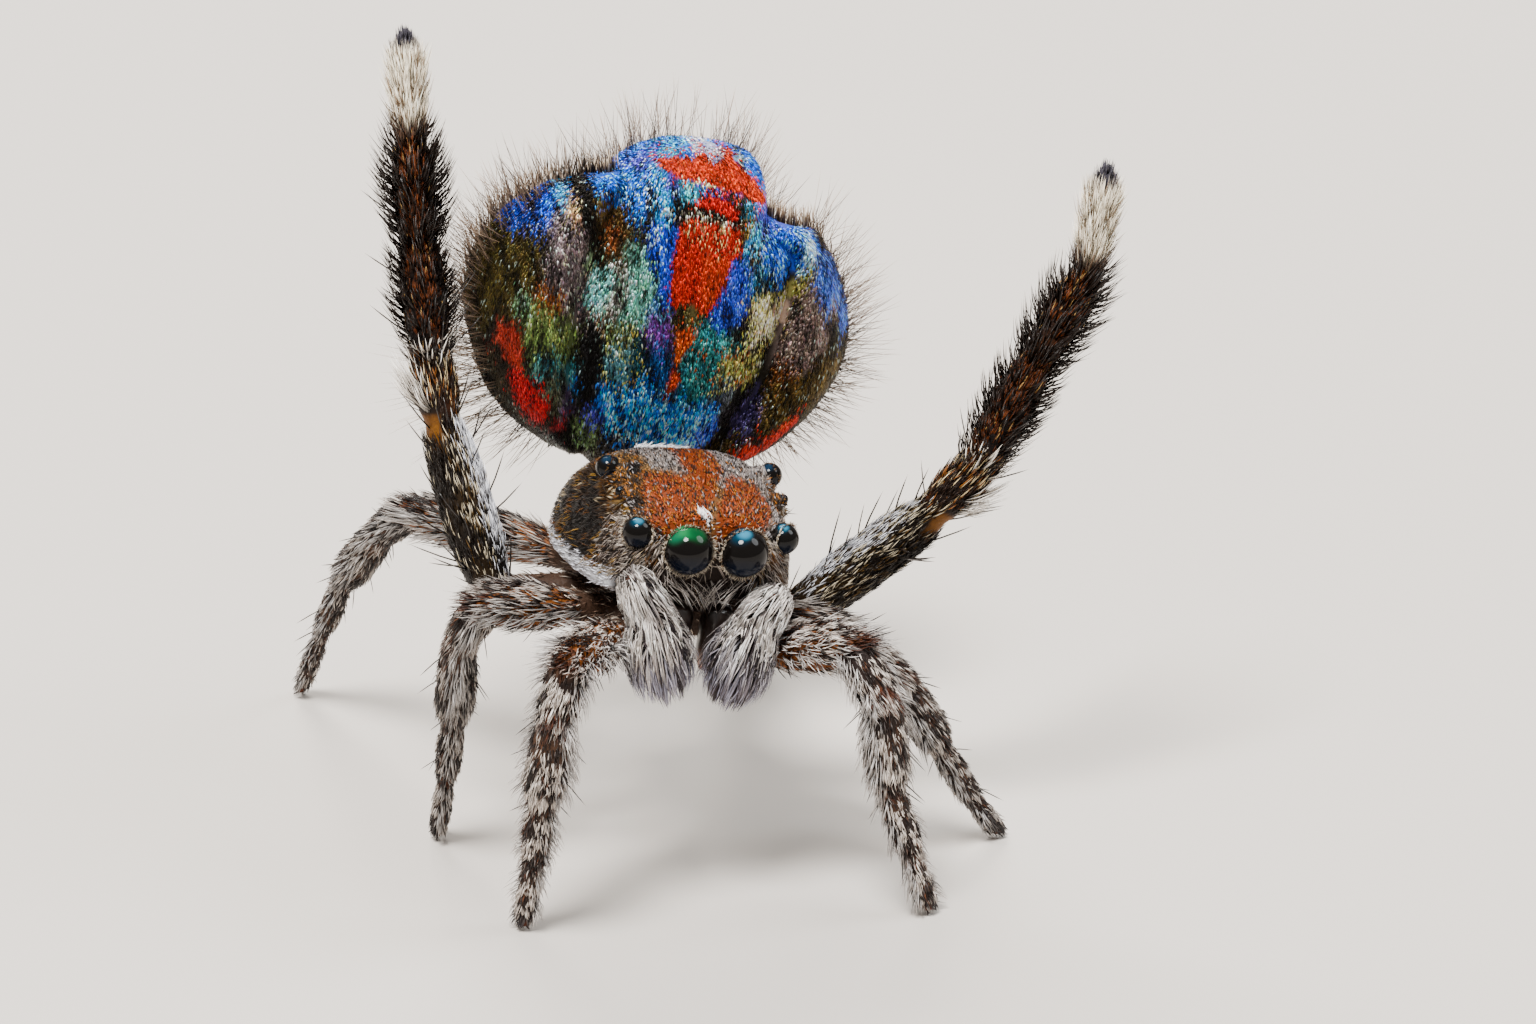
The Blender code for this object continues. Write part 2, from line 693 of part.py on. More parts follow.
def abdomen_locks(frame):
    """The fringe over the top of the abdomen and the rows of locks on its back."""
    draw = random.Random(SEED)
    turn = frame.to_3x3()
    locks = []
    for step in range(13):
        angle = math.radians(-54 + 9 * step)
        height = FAN_HEIGHT * (0.80 + 0.17 * math.cos(angle))
        width, front, back, plane = fan_section(height)
        across = math.copysign(abs(math.sin(angle)) ** 0.8, angle) * width * 0.80
        across = drawn_in(across, height)
        aside = abs(math.sin(angle))
        depth = (0.15 * (step % 2) - 0.15 + 0.65 * aside) * front
        root = frame @ Vector((across, plane + depth, height))
        outwards = Vector((1.6 * math.sin(angle), 0.5 + 0.5 * aside, math.cos(angle)))
        outwards.normalize()
        sideways = Vector((math.cos(angle), 0, -math.sin(angle)))
        sideways = sideways * math.copysign(math.cos(angle), angle)
        direction = turn @ (outwards + sideways * FRINGE_SWEEP).normalized()
        reach = FRINGE_LENGTH * draw.uniform(0.8, 1.2)
        sway = turn @ (sideways * 0.10 + Vector((0, 0.08, 0)))
        locks.append(lock(root, direction, turn @ Vector((0, -1, 0)), reach, FRINGE_WIDTH, sway))
    for row, height in enumerate((0.60, 1.30, 2.00)):
        width, front, back, plane = fan_section(height)
        for step in range(4):
            angle = math.radians(-60 + 40 * (step + 0.5 * (row % 2)))
            normal = Vector((math.sin(angle), math.cos(angle), 0))
            root = Vector((normal.x * width * 0.88, plane + normal.y * back * 0.92, height))
            direction = (normal * 0.5 + Vector((0, 0, 0.86))).normalized()
            reach = FRINGE_LENGTH * draw.uniform(0.85, 1.15)
            locks.append(lock(frame @ root, turn @ direction, turn @ normal, reach,
                              FRINGE_WIDTH, turn @ normal * -0.05))
    return locks


def make_abdomen():
    """The body of the fan, which stands on the pedicel with its upper face to the front."""
    frame = fan_frame()
    rings = []
    for number in range(FAN_RINGS):
        t = 0.5 - 0.5 * math.cos(math.pi * (number + 0.6) / (FAN_RINGS + 0.2))
        height = FAN_HEIGHT * t
        width, front, back, plane = fan_section(height)
        ring = []
        for step in range(FAN_SIDES):
            across, depth = rounded(2 * math.pi * step / FAN_SIDES, FAN_BOXINESS)
            reach = back if depth > 0 else front
            across = drawn_in(across * width, height)
            ring.append(frame @ Vector((across, plane + depth * reach, height)))
        rings.append(ring)
    body = add_object("abdomen", loft(rings), "fan")
    return combine(body, abdomen_locks(frame))


def flap_ring(height, edge, sign, frame):
    """A level section of one flap, from the fold beside the abdomen to its outer edge."""
    width, front, back, plane = fan_section(height)
    root = (width + sign * drawn_in(sign * width, height)) / 2 + GAP
    face = plane - FLAP_ROOT_FRONT * front / FAN_FRONT
    near = []
    far = []
    for column in range(FLAP_COLUMNS + 1):
        s = column / FLAP_COLUMNS
        across = sign * (root + (edge - root) * s)
        bulge = FLAP_SWELL * math.sin(math.pi * s ** 0.8)
        place = face + (edge - root) * (FLAP_SWEEP_BACK * s ** 2.2 - bulge)
        thick = FLAP_THICKNESS * (1 - 0.65 * s ** 1.5)
        level = height - FLAP_DROOP * (s * height / FAN_HEIGHT) ** 2
        near.append(frame @ Vector((across, place, level)))
        far.append(frame @ Vector((across, place + thick, level)))
    return near + far[::-1]


def flap_locks(rings, side, frame):
    """The fringe along a flap's outer edge. Low on the right flap it is a long pale beard."""
    draw = random.Random(SEED + side_sign(side))
    turn = frame.to_3x3()
    locks = []
    for step in range(FLAP_LOCKS):
        reading = (step + 0.5) / FLAP_LOCKS * (len(rings) - 1)
        ring = int(reading)
        share = reading - ring
        edge = rings[ring][FLAP_COLUMNS].lerp(rings[ring + 1][FLAP_COLUMNS], share)
        inner = rings[ring][FLAP_COLUMNS - 2].lerp(rings[ring + 1][FLAP_COLUMNS - 2], share)
        behind = rings[ring][FLAP_COLUMNS + 1].lerp(rings[ring + 1][FLAP_COLUMNS + 1], share)
        outwards = (edge - inner).normalized()
        rise = turn @ Vector((0, 0, 3.2 * (step + 0.5) / FLAP_LOCKS - 1.6))
        lean = draw.uniform(0.1, 0.4)
        direction = (outwards + rise + turn @ Vector((0, lean, 0))).normalized()
        root = edge.lerp(behind, 0.3 + 0.4 * (step % 2)) - outwards * 0.09
        low = 1 - (step + 0.5) / FLAP_LOCKS
        beard = BEARD_LENGTH - FRINGE_LENGTH if side == "right" else -0.10
        reach = FRINGE_LENGTH + beard * low ** 2
        sway = rise * 0.10 + turn @ Vector((0, 0.05, 0))
        locks.append(lock(root, direction, turn @ Vector((0, -1, 0)),
                          reach * draw.uniform(0.8, 1.2), FRINGE_WIDTH, sway))
    return locks


def make_flap(side):
    """The folded-out side of the fan, a thick curved sheet beside the abdomen."""
    frame = fan_frame()
    edges = FLAP_EDGES[side]
    rings = [flap_ring(height, edge, side_sign(side), frame) for height, edge in edges]
    flap = add_object(f"flap_{side}", loft(rings, curved_ends=True), "flap")
    return combine(flap, flap_locks(rings, side, frame))


def make_pedicel():
    """The thin waist between the carapace and the abdomen."""
    width, front, back, plane = fan_section(PEDICEL_HEIGHT + PEDICEL_RADIUS + 0.02)
    facing = body_frame().to_3x3() @ Vector((0, 1, 0))
    start = body_frame() @ Vector((0, CARAPACE_STATIONS[-1][0] + GAP, 0.12))
    end = fan_frame() @ Vector((0, plane - front - GAP, PEDICEL_HEIGHT))
    along = (end - start).normalized()
    rings = swept([start, end], [PEDICEL_RADIUS] * 2, (start, facing), (end, facing),
                  Vector((1, 0, 0)), 8)
    return add_object("pedicel", loft(rings), "underside")


def make_spinnerets():
    """A low mound with four short cones, high on the back of the abdomen."""
    low = fan_section(SPINNERET_HEIGHT - 0.1)
    high = fan_section(SPINNERET_HEIGHT + 0.1)
    middle = fan_section(SPINNERET_HEIGHT)
    slope = Vector((0, high[3] + high[2] - low[3] - low[2], 0.2)).normalized()
    outwards = Vector((1, 0, 0)).cross(slope) * -1
    place = Vector((0, middle[3] + middle[2], SPINNERET_HEIGHT)) + outwards * GAP * 1.4
    local = Matrix.Translation(place) @ outwards.to_track_quat("Z", "Y").to_matrix().to_4x4()
    frame = fan_frame() @ local
    rings = []
    for up, radius in ((0.0, 0.16), (0.06, 0.15), (0.10, 0.09)):
        rings.append([frame @ Vector((radius * math.cos(step * math.pi / 5),
                                      radius * math.sin(step * math.pi / 5), up))
                      for step in range(10)])
    mound = add_object("spinnerets", loft(rings), "underside")
    cones = []
    for x, y in ((-0.06, -0.05), (0.06, -0.05), (-0.05, 0.07), (0.05, 0.07)):
        rings = []
        for up, radius in ((0.04, 0.045), (0.20, 0.02)):
            rings.append([frame @ Vector((x * (1 + up) + radius * math.cos(step * math.pi / 3),
                                          y * (1 + up) + radius * math.sin(step * math.pi / 3),
                                          up)) for step in range(6)])
        cones.append(add_object("cone", loft(rings), "underside"))
    return combine(mound, cones)


def finish():
    """Centres the model over the origin and scales every mesh to metres."""
    corners = [vertex.co for item in bpy.data.objects for vertex in item.data.vertices]
    low = Vector([min(corner[axis] for corner in corners) for axis in range(3)])
    high = Vector([max(corner[axis] for corner in corners) for axis in range(3)])
    shift = Vector((-(low.x + high.x) / 2, -(low.y + high.y) / 2, 0))
    change = Matrix.Scale(MM, 4) @ Matrix.Translation(shift)
    for item in bpy.data.objects:
        item.data.transform(change)
        item.data.shade_smooth()
        item.data.set_sharp_from_angle(angle=math.radians(50))


def main():
    clear_scene()
    legs = [Leg(pair, side) for pair in HIPS for side in ("left", "right")]
    make_carapace()
    make_eyes()
    make_chelicerae()
    make_palps()
    make_underside(legs)
    for leg in legs:
        make_leg(leg)
    make_pedicel()
    make_abdomen()
    make_flap("left")
    make_flap("right")
    make_spinnerets()
    finish()


main()
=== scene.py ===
"""The looks of a male peacock spider that stands with its fan and its third legs raised.

Shapes are made in millimetres in the floor frame of the model, and each finished piece is
scaled to metres. Coats are joined meshes of scales and hairs rooted on the skin.
"""
import math

import bpy
import numpy as np
from mathutils import Matrix, Vector
from mathutils.bvhtree import BVHTree
from mathutils.kdtree import KDTree


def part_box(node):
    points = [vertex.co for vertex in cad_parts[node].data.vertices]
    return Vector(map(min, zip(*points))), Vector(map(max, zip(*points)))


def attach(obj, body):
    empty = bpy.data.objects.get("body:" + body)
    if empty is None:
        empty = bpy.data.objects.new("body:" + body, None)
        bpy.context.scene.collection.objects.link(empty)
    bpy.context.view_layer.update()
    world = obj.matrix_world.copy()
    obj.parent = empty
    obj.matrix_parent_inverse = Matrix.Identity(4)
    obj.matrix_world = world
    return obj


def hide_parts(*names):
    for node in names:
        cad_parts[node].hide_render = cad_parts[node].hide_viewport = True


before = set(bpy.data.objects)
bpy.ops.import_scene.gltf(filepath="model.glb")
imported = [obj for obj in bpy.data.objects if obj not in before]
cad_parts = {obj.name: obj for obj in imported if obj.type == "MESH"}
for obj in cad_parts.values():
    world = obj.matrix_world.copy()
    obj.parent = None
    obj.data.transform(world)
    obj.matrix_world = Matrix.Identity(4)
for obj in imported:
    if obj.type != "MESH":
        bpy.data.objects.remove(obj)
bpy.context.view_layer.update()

bpy.ops.object.select_all(action="DESELECT")


# The camera. It looks down at the face from a little to the spider's right, from 120 mm,
# and its frame is 13.5 mm wide where the spider stands.
MM = 0.001
# The body leans to one side by ROLL; its frame starts at BODY_HEIGHT above the floor
ROLL = math.radians(11)
BODY_HEIGHT = 2.6
FRAME_WIDTH = 13.521
DISTANCE = 120.0
yaw = math.radians(18)
pitch = math.radians(25)
view_right = np.array((math.cos(yaw), -math.sin(yaw), 0.0))
view_back = np.array((-math.sin(yaw) * math.cos(pitch), -math.cos(yaw) * math.cos(pitch),
                      math.sin(pitch)))
view_up = np.cross(view_back, view_right)


def turn_y(points, angle, lift=(0.0, 0.0, 0.0)):
    """Points leaned sideways about the Y axis and then moved by lift."""
    points = np.asarray(points, float)
    x = points[..., 0] * math.cos(angle) + points[..., 2] * math.sin(angle)
    z = points[..., 2] * math.cos(angle) - points[..., 0] * math.sin(angle)
    return np.stack([x, points[..., 1], z], -1) + np.asarray(lift, float)


def in_body(points):
    """Places given in the body frame, whose origin lies inside the carapace."""
    return turn_y(points, ROLL, (0.0, 0.0, BODY_HEIGHT))


def from_body(points):
    """Places of the floor frame, given in the body frame."""
    return turn_y(np.asarray(points, float) - np.array((0.0, 0.0, BODY_HEIGHT)), -ROLL)


FRONT_EYE = (0.257, -1.149, 0.617)
corner_low, corner_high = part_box("eye_front_middle_left")
eye_place = (np.array(corner_low) + np.array(corner_high)) / 2 / MM
SHIFT = eye_place - in_body(FRONT_EYE)
SHIFT[2] = 0.0

aim = view_right * 0.9225 + view_up * 2.799 + view_back * 1.5 + SHIFT
camera_data = bpy.data.cameras.new("camera")
camera_data.sensor_width = 36.0
camera_data.lens = camera_data.sensor_width * DISTANCE / FRAME_WIDTH
camera_data.clip_start = 0.005
camera_data.clip_end = 5.0
camera = bpy.data.objects.new("camera", camera_data)
bpy.context.scene.collection.objects.link(camera)
facing = Matrix(np.stack([view_right, view_up, view_back], 1).tolist()).to_4x4()
camera.matrix_world = Matrix.Translation(Vector((aim + view_back * DISTANCE) * MM)) @ facing
bpy.context.scene.camera = camera


# The floor and the light. A pale floor under the feet, a broad soft light over the face, a
# weaker one from the other side and one behind that catches the fringe.
def plain_material(name, colour, roughness):
    """A finish of one colour, for the floor."""
    made = bpy.data.materials.new(name)
    made.use_nodes = True
    shader = made.node_tree.nodes["Principled BSDF"]
    shader.inputs["Base Color"].default_value = (*colour, 1)
    shader.inputs["Roughness"].default_value = roughness
    return made


bpy.ops.mesh.primitive_plane_add(size=0.6)
floor = bpy.context.object
floor.name = "floor"
floor.data.materials.append(plain_material("pale_floor", (0.50, 0.46, 0.42), 0.8))

world = bpy.data.worlds.new("studio")
world.use_nodes = True
sky = world.node_tree.nodes["Background"]
sky.inputs["Color"].default_value = (0.80, 0.78, 0.76, 1)
sky.inputs["Strength"].default_value = 0.46
bpy.context.scene.world = world


def soft_light(name, place, size, power, colour):
    """A round light at a place in millimetres that points at the middle of the spider."""
    light = bpy.data.lights.new(name, "AREA")
    light.shape = "DISK"
    light.size = size * MM
    light.energy = power
    light.color = colour
    item = bpy.data.objects.new(name, light)
    bpy.context.scene.collection.objects.link(item)
    way = Vector(place) - Vector((0, 0, 3))
    item.location = Vector(place) * MM
    item.rotation_euler = way.to_track_quat("Z", "Y").to_euler()


soft_light("key_light", (-45, -42, 165), 60, 0.90, (1.0, 0.98, 0.95))
soft_light("fill_light", (120, -30, 120), 90, 0.22, (0.93, 0.97, 1.0))
soft_light("rim_light", (10, 130, 110), 80, 0.42, (1.0, 0.97, 0.92))


# The skin. One closed surface over the whole animal, legs to fan, with no seam at the
# joints. Each of its forms is a rounded grid of turn and run; together they are remeshed.
def interpolate(stations, places):
    """Columns of stations at places along their first column, smoothly."""
    table = np.array(stations, float)
    knots = table[:, 0]
    slopes = np.gradient(table[:, 1:], knots, axis=0)
    at = np.clip(np.searchsorted(knots, places) - 1, 0, len(knots) - 2)
    width = knots[at + 1] - knots[at]
    s = ((places - knots[at]) / width)[:, None]
    low, high = table[at, 1:], table[at + 1, 1:]
    rise = slopes[at] * width[:, None]
    fall = slopes[at + 1] * width[:, None]
    return ((2 * s ** 3 - 3 * s ** 2 + 1) * low + (s ** 3 - 2 * s ** 2 + s) * rise
            + (3 * s ** 2 - 2 * s ** 3) * high + (s ** 3 - s ** 2) * fall)


def squared(turn, power):
    """Across and up of a superellipse of unit size, at turns from 0 to 1."""
    c, s = np.cos(2 * np.pi * turn), np.sin(2 * np.pi * turn)
    return np.sign(c) * np.abs(c) ** (2 / power), np.sign(s) * np.abs(s) ** (2 / power)


def closing(run, share):
    """Size of a ring that shrinks to a point at both ends of a run."""
    near = np.minimum(run, 1 - run) / share
    return np.sqrt(np.clip(1 - (1 - np.clip(near, 0, 1)) ** 2, 0, 1))


# The skin lies a little inside the coated forms, by this share of their size
SNUG = 0.985
SIDES = ((1, "left"), (-1, "right"))
FORMS = []


def add_form(kind, name, place, sides, rings, **facts):
    """Keeps a form: place(turn, run) gives points in the floor frame."""
    FORMS.append(dict(kind=kind, name=name, place=place, sides=sides, rings=rings, **facts))
    return FORMS[-1]


# Front to back: place, half width, top and lower margin of the carapace
CARAPACE = ((-1.14, .36, .76, .26), (-1.08, .62, .88, .19), (-.92, .81, .97, .13),
            (-.72, .87, 1.03, .08), (-.40, .91, 1.08, .02), (-.02, .94, 1.08, -.02),
            (.34, .95, .94, -.03), (.66, .88, .70, -.02), (.90, .74, .46, .0),
            (1.06, .54, .28, .03), (1.13, .34, .18, .06))


def carapace_place(turn, run):
    y = -1.135 + 2.26 * run
    half, top, margin = interpolate(CARAPACE, y).T
    across, up = squared(turn, 3.4)
    size = closing(run, 0.02)
    reach = np.where(up > 0, (top - margin) * up, 0.05 * up)
    x = across * half * (1 - 0.08 * np.maximum(up, 0)) * size * SNUG
    middle = margin + (top - margin) * 0.45
    z = middle + (margin + reach - middle) * (0.4 + 0.6 * size) * SNUG
    return in_body(np.stack([x, y, z], 1))


add_form("head", "carapace", carapace_place, 64, 60)


def carapace_lines(y):
    """Height of the top and of the lower margin of the carapace at places along it."""
    return interpolate(CARAPACE, np.clip(y, -1.139, 1.129))[:, 1:].T


def ball_place(centre, radius):
    """A ball round a centre of the body frame."""
    def place(turn, run):
        lift = np.pi * (run - 0.5)
        angle = 2 * np.pi * turn
        return in_body(np.stack([centre[0] + radius * np.cos(lift) * np.cos(angle),
                                 centre[1] + radius * np.cos(lift) * np.sin(angle),
                                 centre[2] + radius * np.sin(lift)], 1))
    return place


def mirrored(place, side):
    """A place of the left side, or its mirror image for the right one."""
    return np.array((place[0] * side, *place[1:]))


# Centre and radius of the mounds that carry the eyes
MOUNDS = (((.600, -.84, .65), .18), ((.725, -.57, .87), .065), ((.690, -.19, .900), .125),
          ((.25, -1.03, .61), .19))
for side in (1, -1):
    for centre, radius in MOUNDS:
        add_form("head", "mound", ball_place(mirrored(centre, side), radius), 20, 12)


def plate_place(turn, run):
    """The plate under the carapace, whose flat upper side lies against it."""
    swell = np.sqrt(1 - (2 * run - 1) ** 4 * 0.55) * closing(run, 0.05)
    across, up = squared(turn, 2.6)
    return in_body(np.stack([across * 0.48 * swell, -0.68 + 1.58 * run,
                             -0.14 + (up - 1) * 0.19 * swell], 1))


add_form("under", "underside", plate_place, 32, 20)


def limb_place(start, end, level, radii):
    """A rounded length from start to end whose radii are given from 0 to 1 along it."""
    start, end = np.array(start, float), np.array(end, float)
    length = np.linalg.norm(end - start)
    along = (end - start) / length
    up = np.cross(level, along)
    up = up / np.linalg.norm(up)
    across = np.cross(along, up)
    first, last = radii[0][1], radii[-1][1]

    def place(turn, run):
        at = -first + (length + first + last) * run
        inner = interpolate(radii, np.clip(at / length, 0, 1))[:, 0]
        size = np.where(at < 0, np.sqrt(np.clip(first ** 2 - at ** 2, 0, None)), inner)
        over = np.sqrt(np.clip(last ** 2 - (at - length) ** 2, 0, None))
        size = np.where(at > length, over, size)
        angle = 2 * np.pi * turn
        return (start + along * at[:, None] + across * (size * np.cos(angle))[:, None]
                + up * (size * np.sin(angle))[:, None])
    return place


HIPS = {1: ((-.74, -.96, -.35), (.74, -.96, -.35)), 2: ((-.97, -.32, -.35), (.97, -.32, -.35)),
        3: ((-1.42, .31, -.50), (1.41, .14, -.47)), 4: ((-.71, 1.03, -.35), (.71, 1.03, -.35))}
# Lengths and half thicknesses of the femur, patella, tibia, metatarsus and tarsus
LENGTHS = {1: (1.05, .50, .88, .66, .60), 2: (.80, .48, .88, .68, .62),
           3: (1.68, .57, 1.08, .87, .92), 4: (1.40, .50, .90, .72, .62)}
THICKNESS = {1: (.215, .185, .190, .135, .105), 2: (.205, .170, .175, .120, .095),
             3: (.235, .195, .200, .180, .125), 4: (.215, .165, .170, .115, .090)}
# Heading from straight ahead, turning outwards, and rise of each length, in degrees
POSE = {(1, -1): ((37, 13), (60, -66), (145, -80), (150, -80), (150, -80)),
        (1, 1): ((29, 17), (24, -43), (50, -84), (67, -73), (67, -75)),
        (2, -1): ((84, 14), (140, -60), (174, -78), (176, -74), (176, -72)),
        (2, 1): ((45, -3), (50, -32), (88, -61), (96, -61), (92, -60)),
        (3, -1): ((126, 74), (159, 76), (168, 79), (175, 81), (184, 78)),
        (3, 1): ((58, 42), (74, 49), (96, 58), (106, 52), (118, 76)),
        (4, -1): ((137, 1), (155, -38), (158, -51), (160, -62), (160, -66)),
        (4, 1): ((151, -1), (157, -24), (158, -60), (160, -66), (160, -58))}
WAIST = 0.80
SKIN_DEPTH = 0.015
LEGS = {}
for (pair, side), pose in POSE.items():
    hip = np.array(HIPS[pair][0 if side < 0 else 1])
    inner = in_body(np.array((0.45 * hip[0], 0.62 * hip[1], -0.345)))
    joints = [in_body(hip)]
    for number, (heading, rise) in enumerate(pose):
        turned, lifted = math.radians(heading), math.radians(rise)
        way = np.array((side * math.cos(lifted) * math.sin(turned),
                        -math.cos(lifted) * math.cos(turned), math.sin(lifted)))
        length = LENGTHS[pair][number]
        if number == 4 and pair != 3:
            length = -joints[-1][2] / way[2]
        joints.append(joints[-1] + way * length)
    outwards = joints[2] + joints[3] - 2 * joints[0]
    level = np.array((-outwards[1], outwards[0], 0.0))
    level = level / np.linalg.norm(level)
    LEGS[pair, side] = dict(joints=joints, level=level)
    add_form("under", "coxa", limb_place(inner, joints[0], level, ((0, .13), (1, .155))), 20, 12)
    thick = [size - SKIN_DEPTH for size in THICKNESS[pair]]
    waists = [0.155] + [WAIST * min(a, b) for a, b in zip(thick, thick[1:])]
    waists.append(thick[4] * (0.45 if pair == 3 else 0.62))
    for number in range(5):
        size = thick[number]
        end = joints[number + 1]
        if number == 4 and pair != 3:
            end = end + np.array((0, 0, waists[5] + 0.012))
        radii = ((0, waists[number]), (.2, size * .99), (.48, size * 1.05), (.8, size * .95),
                 (1, waists[number + 1]))
        add_form("leg", "leg", limb_place(joints[number], end, level, radii), 24,
                 int(14 + 26 * np.linalg.norm(end - joints[number])), pair=pair, side=side,
                 number=number, start=joints[number], end=end, level=level, size=size)

# Root, base, knee, wrist and tip of each palp in the body frame
PALPS = {-1: ((-.28, -.55, -.25), (-.47, -1.00, -.20), (-.755, -1.30, .345),
              (-.590, -1.42, .095), (-.385, -1.45, -.45)),
         1: ((.28, -.55, -.25), (.45, -1.00, -.20), (.590, -1.30, .235),
             (.390, -1.42, .060), (.245, -1.45, -.49))}
PALP_RADII = (((0, .07), (1, .085)), ((0, .085), (.5, .10), (1, .095)),
              ((0, .095), (.5, .10), (1, .095)),
              ((0, .11), (.24, .18), (.46, .205), (.74, .195), (.93, .12), (1, .07)))
for side, places in PALPS.items():
    for number in range(4):
        start, end = in_body(places[number]), in_body(places[number + 1])
        add_form("palp", "palp", limb_place(start, end, (1.0, 0, 0), PALP_RADII[number]), 24, 24,
                 side=side, number=number, start=start, end=end, level=np.array((1.0, 0, 0)),
                 size=max(radius for at, radius in PALP_RADII[number]))

FAN_BASE = (0.08, 0.0, 0.16)
FAN_LEAN = math.radians(5)
FAN_HEIGHT = 3.18
FAN_HALF, FAN_FRONT, FAN_REAR = 1.04, 0.62, 0.80


def in_fan(points):
    """Places given in the fan frame, which stands on the pedicel."""
    return in_body(turn_y(points, FAN_LEAN, FAN_BASE))


def from_fan(points):
    """Places of the floor frame, given in the fan frame."""
    return turn_y(from_body(points) - np.array(FAN_BASE), -FAN_LEAN)


def body_way(ways):
    """Ways of the body frame in the floor frame."""
    return in_body(ways) - in_body(np.zeros((1, 3)))


def fan_way(ways):
    """Ways of the fan frame in the floor frame."""
    return in_fan(ways) - in_fan(np.zeros((1, 3)))


def fan_section(height):
    """Half width, front depth, back depth and middle plane of the abdomen at heights."""
    t = np.clip(height / FAN_HEIGHT, 0.0, 1.0)
    swell = np.clip(1 - np.abs(2 * t ** 1.25 - 1) ** 2.5, 0, 1) ** (1 / 2.5)
    back = np.clip(1 - np.abs(2 * t ** 0.95 - 1) ** 2.1, 0, 1) ** (1 / 2.1)
    return FAN_HALF * swell, FAN_FRONT * swell, FAN_REAR * back, 1.62 + 0.08 * t ** 0.7


def ease(values, low, high):
    """0 below low, 1 above high, and smooth between them."""
    t = np.clip((values - low) / (high - low), 0, 1)
    return t * t * (3 - 2 * t)


def drawn_in(across, height):
    """Place across of a point of the abdomen, whose left shoulder slopes more than its right."""
    return across - 0.26 * ease(height, 2.30, 2.65) * ease(across, .30, .95)


def abdomen_place(turn, run):
    height = FAN_HEIGHT * (0.5 - 0.5 * np.cos(np.pi * (0.01 + 0.98 * run)))
    width, front, back, plane = fan_section(height)
    across, depth = squared(turn, 2.5)
    x = across * width * SNUG
    # Two shallow furrows run down the front, left of the wedge and along the right lobe
    furrow = 0.05 * np.exp(-((x + 0.88 - 0.22 * (height - 1.9)) / 0.06) ** 2)
    furrow = furrow + 0.05 * np.exp(-((x - 0.98 + 0.25 * (height - 2.0) ** 2) / 0.06) ** 2)
    y = plane + depth * np.where(depth > 0, back, front - furrow) * SNUG
    return in_fan(np.stack([drawn_in(x, height), y, height], 1))


add_form("fan", "abdomen", abdomen_place, 80, 90)

# Height in the fan frame and distance of each flap's outer edge from its middle
FLAPS = {-1: ((.16, .70), (.30, 1.02), (.52, 1.34), (.88, 1.60), (1.30, 1.80), (1.75, 1.87),
              (2.12, 1.79), (2.44, 1.62), (2.69, 1.38), (2.84, 1.14)),
         1: ((.14, .78), (.28, 1.20), (.46, 1.48), (.74, 1.72), (1.05, 1.86), (1.45, 1.88),
             (1.82, 1.76), (2.16, 1.56), (2.46, 1.34), (2.62, 1.20))}


# How far a flap reaches into the abdomen, and its thickness at the root
FLAP_OVERLAP = 0.03
FLAP_THICKNESS = 0.385


def flap_span(side, height):
    """The abdomen's section at heights, and the root and the outer edge of a flap there."""
    section = fan_section(height)
    root = side * drawn_in(side * section[0], height) - FLAP_OVERLAP
    return section, root, interpolate(FLAPS[side], height)[:, 0]


def flap_thinning(s):
    """Share of a flap's thickness at s from 0 at its root to 1 at its edge."""
    return 1 - 0.65 * s ** 1.5


def flap_fall(height, s):
    """How far a flap's sheet hangs lower towards its edge."""
    return 0.12 * (s * height / FAN_HEIGHT) ** 2


def flap_middle(section, stretch, s):
    """Depth of the middle of a flap's sheet, which swings forward and then back to its edge."""
    front, plane = section[1], section[3]
    swing = stretch * (0.62 * s ** 2.2 - 0.20 * np.sin(np.pi * s ** 0.8))
    return plane - 0.36 * front / FAN_FRONT + swing + 0.19 * flap_thinning(s)


def flap_place(side):
    low, high = FLAPS[side][0][0], FLAPS[side][-1][0]

    def place(turn, run):
        height = low + (high - low) * run
        section, root, edge = flap_span(side, height)
        far = turn > 0.5
        s = np.clip(np.where(far, (1 - turn) * 2, turn * 2), 0, 1)
        thick = FLAP_THICKNESS * flap_thinning(s) * closing(run, 0.04)
        y = flap_middle(section, edge - root, s) + np.where(far, 0.5, -0.5) * thick
        x = side * (root + (edge - root) * s)
        return in_fan(np.stack([x, y, height - flap_fall(height, s)], 1))
    return place


for side in (-1, 1):
    add_form("flap", "flap", flap_place(side), 72, 70, side=side)


def add_rod(name, start, end, first, last, sides, rings):
    """Keeps a rod of the underside whose radius runs from first to last."""
    place = limb_place(start, end, (1.0, 0, 0), ((0, first), (1, last)))
    add_form("under", name, place, sides, rings)


PEDICEL_HEIGHT, TAIL_HEIGHT = 0.17, 2.72
width, front, back, plane = fan_section(np.array([PEDICEL_HEIGHT]))
add_rod("pedicel", in_body((0, 1.05, .13)), in_fan((0, plane[0] - front[0] + 0.15, .06)),
        .10, .10, 20, 10)
width, front, back, plane = fan_section(np.array([TAIL_HEIGHT]))
tail_y = plane[0] + back[0]
add_rod("spinneret_mound", in_fan((0, tail_y - .12, 2.68)), in_fan((0, tail_y - .02, 2.74)),
        .13, .13, 20, 10)
for x, z in ((-.06, -.05), (.06, -.05), (-.05, .07), (.05, .07)):
    add_rod("spinneret", in_fan((x, tail_y, 2.74 + z)), in_fan((x * 1.3, tail_y + .12, 2.80 + z)),
            .04, .022, 12, 8)


# Vertices of a form that lie nearer to each other than this become one
WELD = 0.0008


